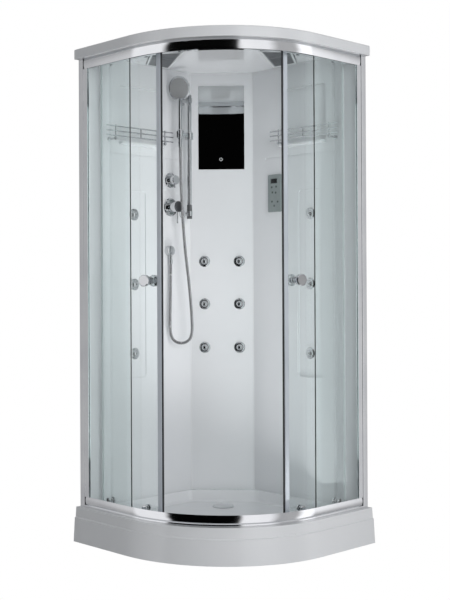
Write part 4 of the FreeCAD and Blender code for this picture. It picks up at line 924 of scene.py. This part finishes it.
def makeFloor():
    material, tree, shader = baseMaterial("studioFloor")
    grain = placeGroup(tree, castGrain, {"Fine": 60.0, "Cloud": 0.8, "Roughness": 0.8, "Spread": 0.05})
    level = studio["floor"]
    tree.links.new(toneRamp(tree, grain.outputs["Tone"], (level,) * 3, (level + 0.01,) * 3),
                   shader.inputs["Base Color"])
    shader.inputs["Roughness"].default_value = 0.8
    seen, reflected = rayKinds(tree)
    white = tree.nodes.new("ShaderNodeEmission")
    white.inputs["Color"].default_value = (1, 1, 1, 1)
    mix = tree.nodes.new("ShaderNodeMixShader")
    tree.links.new(seen, mix.inputs["Fac"])
    tree.links.new(shader.outputs["BSDF"], mix.inputs[1])
    tree.links.new(white.outputs["Emission"], mix.inputs[2])
    gone = tree.nodes.new("ShaderNodeBsdfTransparent")
    clear = tree.nodes.new("ShaderNodeMixShader")
    tree.links.new(reflected, clear.inputs["Fac"])
    tree.links.new(mix.outputs["Shader"], clear.inputs[1])
    tree.links.new(gone.outputs["BSDF"], clear.inputs[2])
    tree.links.new(clear.outputs["Shader"], tree.nodes["Material Output"].inputs["Surface"])
    mesh = bpy.data.meshes.new("floor")
    reach = studio["floorReach"]
    mesh.from_pydata([(-reach, -reach, 0), (reach, -reach, 0), (reach, reach, 0), (-reach, reach, 0)], [],
                     [(0, 1, 2, 3)])
    mesh.materials.append(material)
    addObject("floor", mesh)


def makeWorld():
    # white to the eye, an even grey to matt surfaces, and a studio with a dark middle,
    # bright windows beside it and a pale ceiling to anything that mirrors
    world = bpy.data.worlds.new("studio")
    scene.world = world
    world.use_nodes = True
    tree = world.node_tree
    tree.nodes.clear()
    out = tree.nodes.new("ShaderNodeOutputWorld")
    spot = tree.nodes.new("ShaderNodeTexCoord")
    split = tree.nodes.new("ShaderNodeSeparateXYZ")
    tree.links.new(spot.outputs["Generated"], split.inputs["Vector"])
    front = mathNode(tree, "MULTIPLY", split.outputs["Y"], -1.0)
    azimuth = mathNode(tree, "ARCTAN2", split.outputs["X"], front)
    around = mathNode(tree, "MULTIPLY_ADD", azimuth, 0.5 / math.pi, 0.5)
    ramp = tree.nodes.new("ShaderNodeValToRGB")
    bands = studio["windows"]
    stops = ramp.color_ramp.elements
    while len(stops) < len(bands):
        stops.new(0.5)
    for stop, (angle, level) in zip(stops, bands):
        stop.position = angle / 360.0 + 0.5
        stop.color = (level, level, level * 1.02, 1.0)
    tree.links.new(around, ramp.inputs["Fac"])
    high = tree.nodes.new("ShaderNodeValToRGB")
    lift = mathNode(tree, "MULTIPLY_ADD", split.outputs["Z"], 0.5, 0.5)
    tree.links.new(lift, high.inputs["Fac"])
    high.color_ramp.elements[0].position = studio["ceilingFrom"]
    high.color_ramp.elements[0].color = (0, 0, 0, 1)
    high.color_ramp.elements[1].position = studio["ceilingFull"]
    high.color_ramp.elements[1].color = (1, 1, 1, 1)
    blend = tree.nodes.new("ShaderNodeMix")
    blend.data_type = "RGBA"
    tree.links.new(high.outputs["Color"], blend.inputs["Factor"])
    tree.links.new(ramp.outputs["Color"], blend.inputs["A"])
    blend.inputs["B"].default_value = (*studio["ceiling"], 1.0)
    mirrored = tree.nodes.new("ShaderNodeBackground")
    tree.links.new(blend.outputs["Result"], mirrored.inputs["Color"])
    even = tree.nodes.new("ShaderNodeBackground")
    even.inputs["Color"].default_value = (0.97, 0.985, 1.0, 1.0)
    even.inputs["Strength"].default_value = studio["world"]
    white = tree.nodes.new("ShaderNodeBackground")
    white.inputs["Color"].default_value = (1, 1, 1, 1)
    seen, reflected = rayKinds(tree)
    matt = tree.nodes.new("ShaderNodeMixShader")
    tree.links.new(reflected, matt.inputs["Fac"])
    tree.links.new(even.outputs["Background"], matt.inputs[1])
    tree.links.new(mirrored.outputs["Background"], matt.inputs[2])
    last = tree.nodes.new("ShaderNodeMixShader")
    tree.links.new(seen, last.inputs["Fac"])
    tree.links.new(matt.outputs["Shader"], last.inputs[1])
    tree.links.new(white.outputs["Background"], last.inputs[2])
    tree.links.new(last.outputs["Shader"], out.inputs["Surface"])


def addLamp(name, place, target, size, power, tint=(1.0, 1.0, 1.0), tall=None, spread=180.0):
    lamp = bpy.data.lights.new(name, "AREA")
    lamp.shape = "RECTANGLE"
    lamp.size = size
    lamp.size_y = tall or size
    lamp.spread = math.radians(spread)
    lamp.energy = power
    lamp.color = tint
    holder = bpy.data.objects.new(name, lamp)
    holder.location = place
    holder.rotation_euler = (Vector(target) - Vector(place)).to_track_quat("-Z", "Y").to_euler()
    holder.visible_glossy = False
    holder.visible_camera = False
    holder.visible_transmission = False
    scene.collection.objects.link(holder)


makeFloor()
makeWorld()
addLamp("key", studio["keyPlace"], (0, 0, 1.0), studio["keySize"], studio["key"])
addLamp("fill", studio["fillPlace"], (0, 0, 1.0), 2.0, studio["fill"], (0.95, 0.98, 1.0))
addLamp("up", studio["upPlace"], (-0.12, 0.06, 2.0), 0.5, studio["up"], spread=75.0)
addLamp("inner", studio["innerPlace"], (-0.05, 0.3, 1.3), 0.4, studio["inner"], tall=1.5)
scene.view_settings.view_transform = "Standard"
print("studio lit")
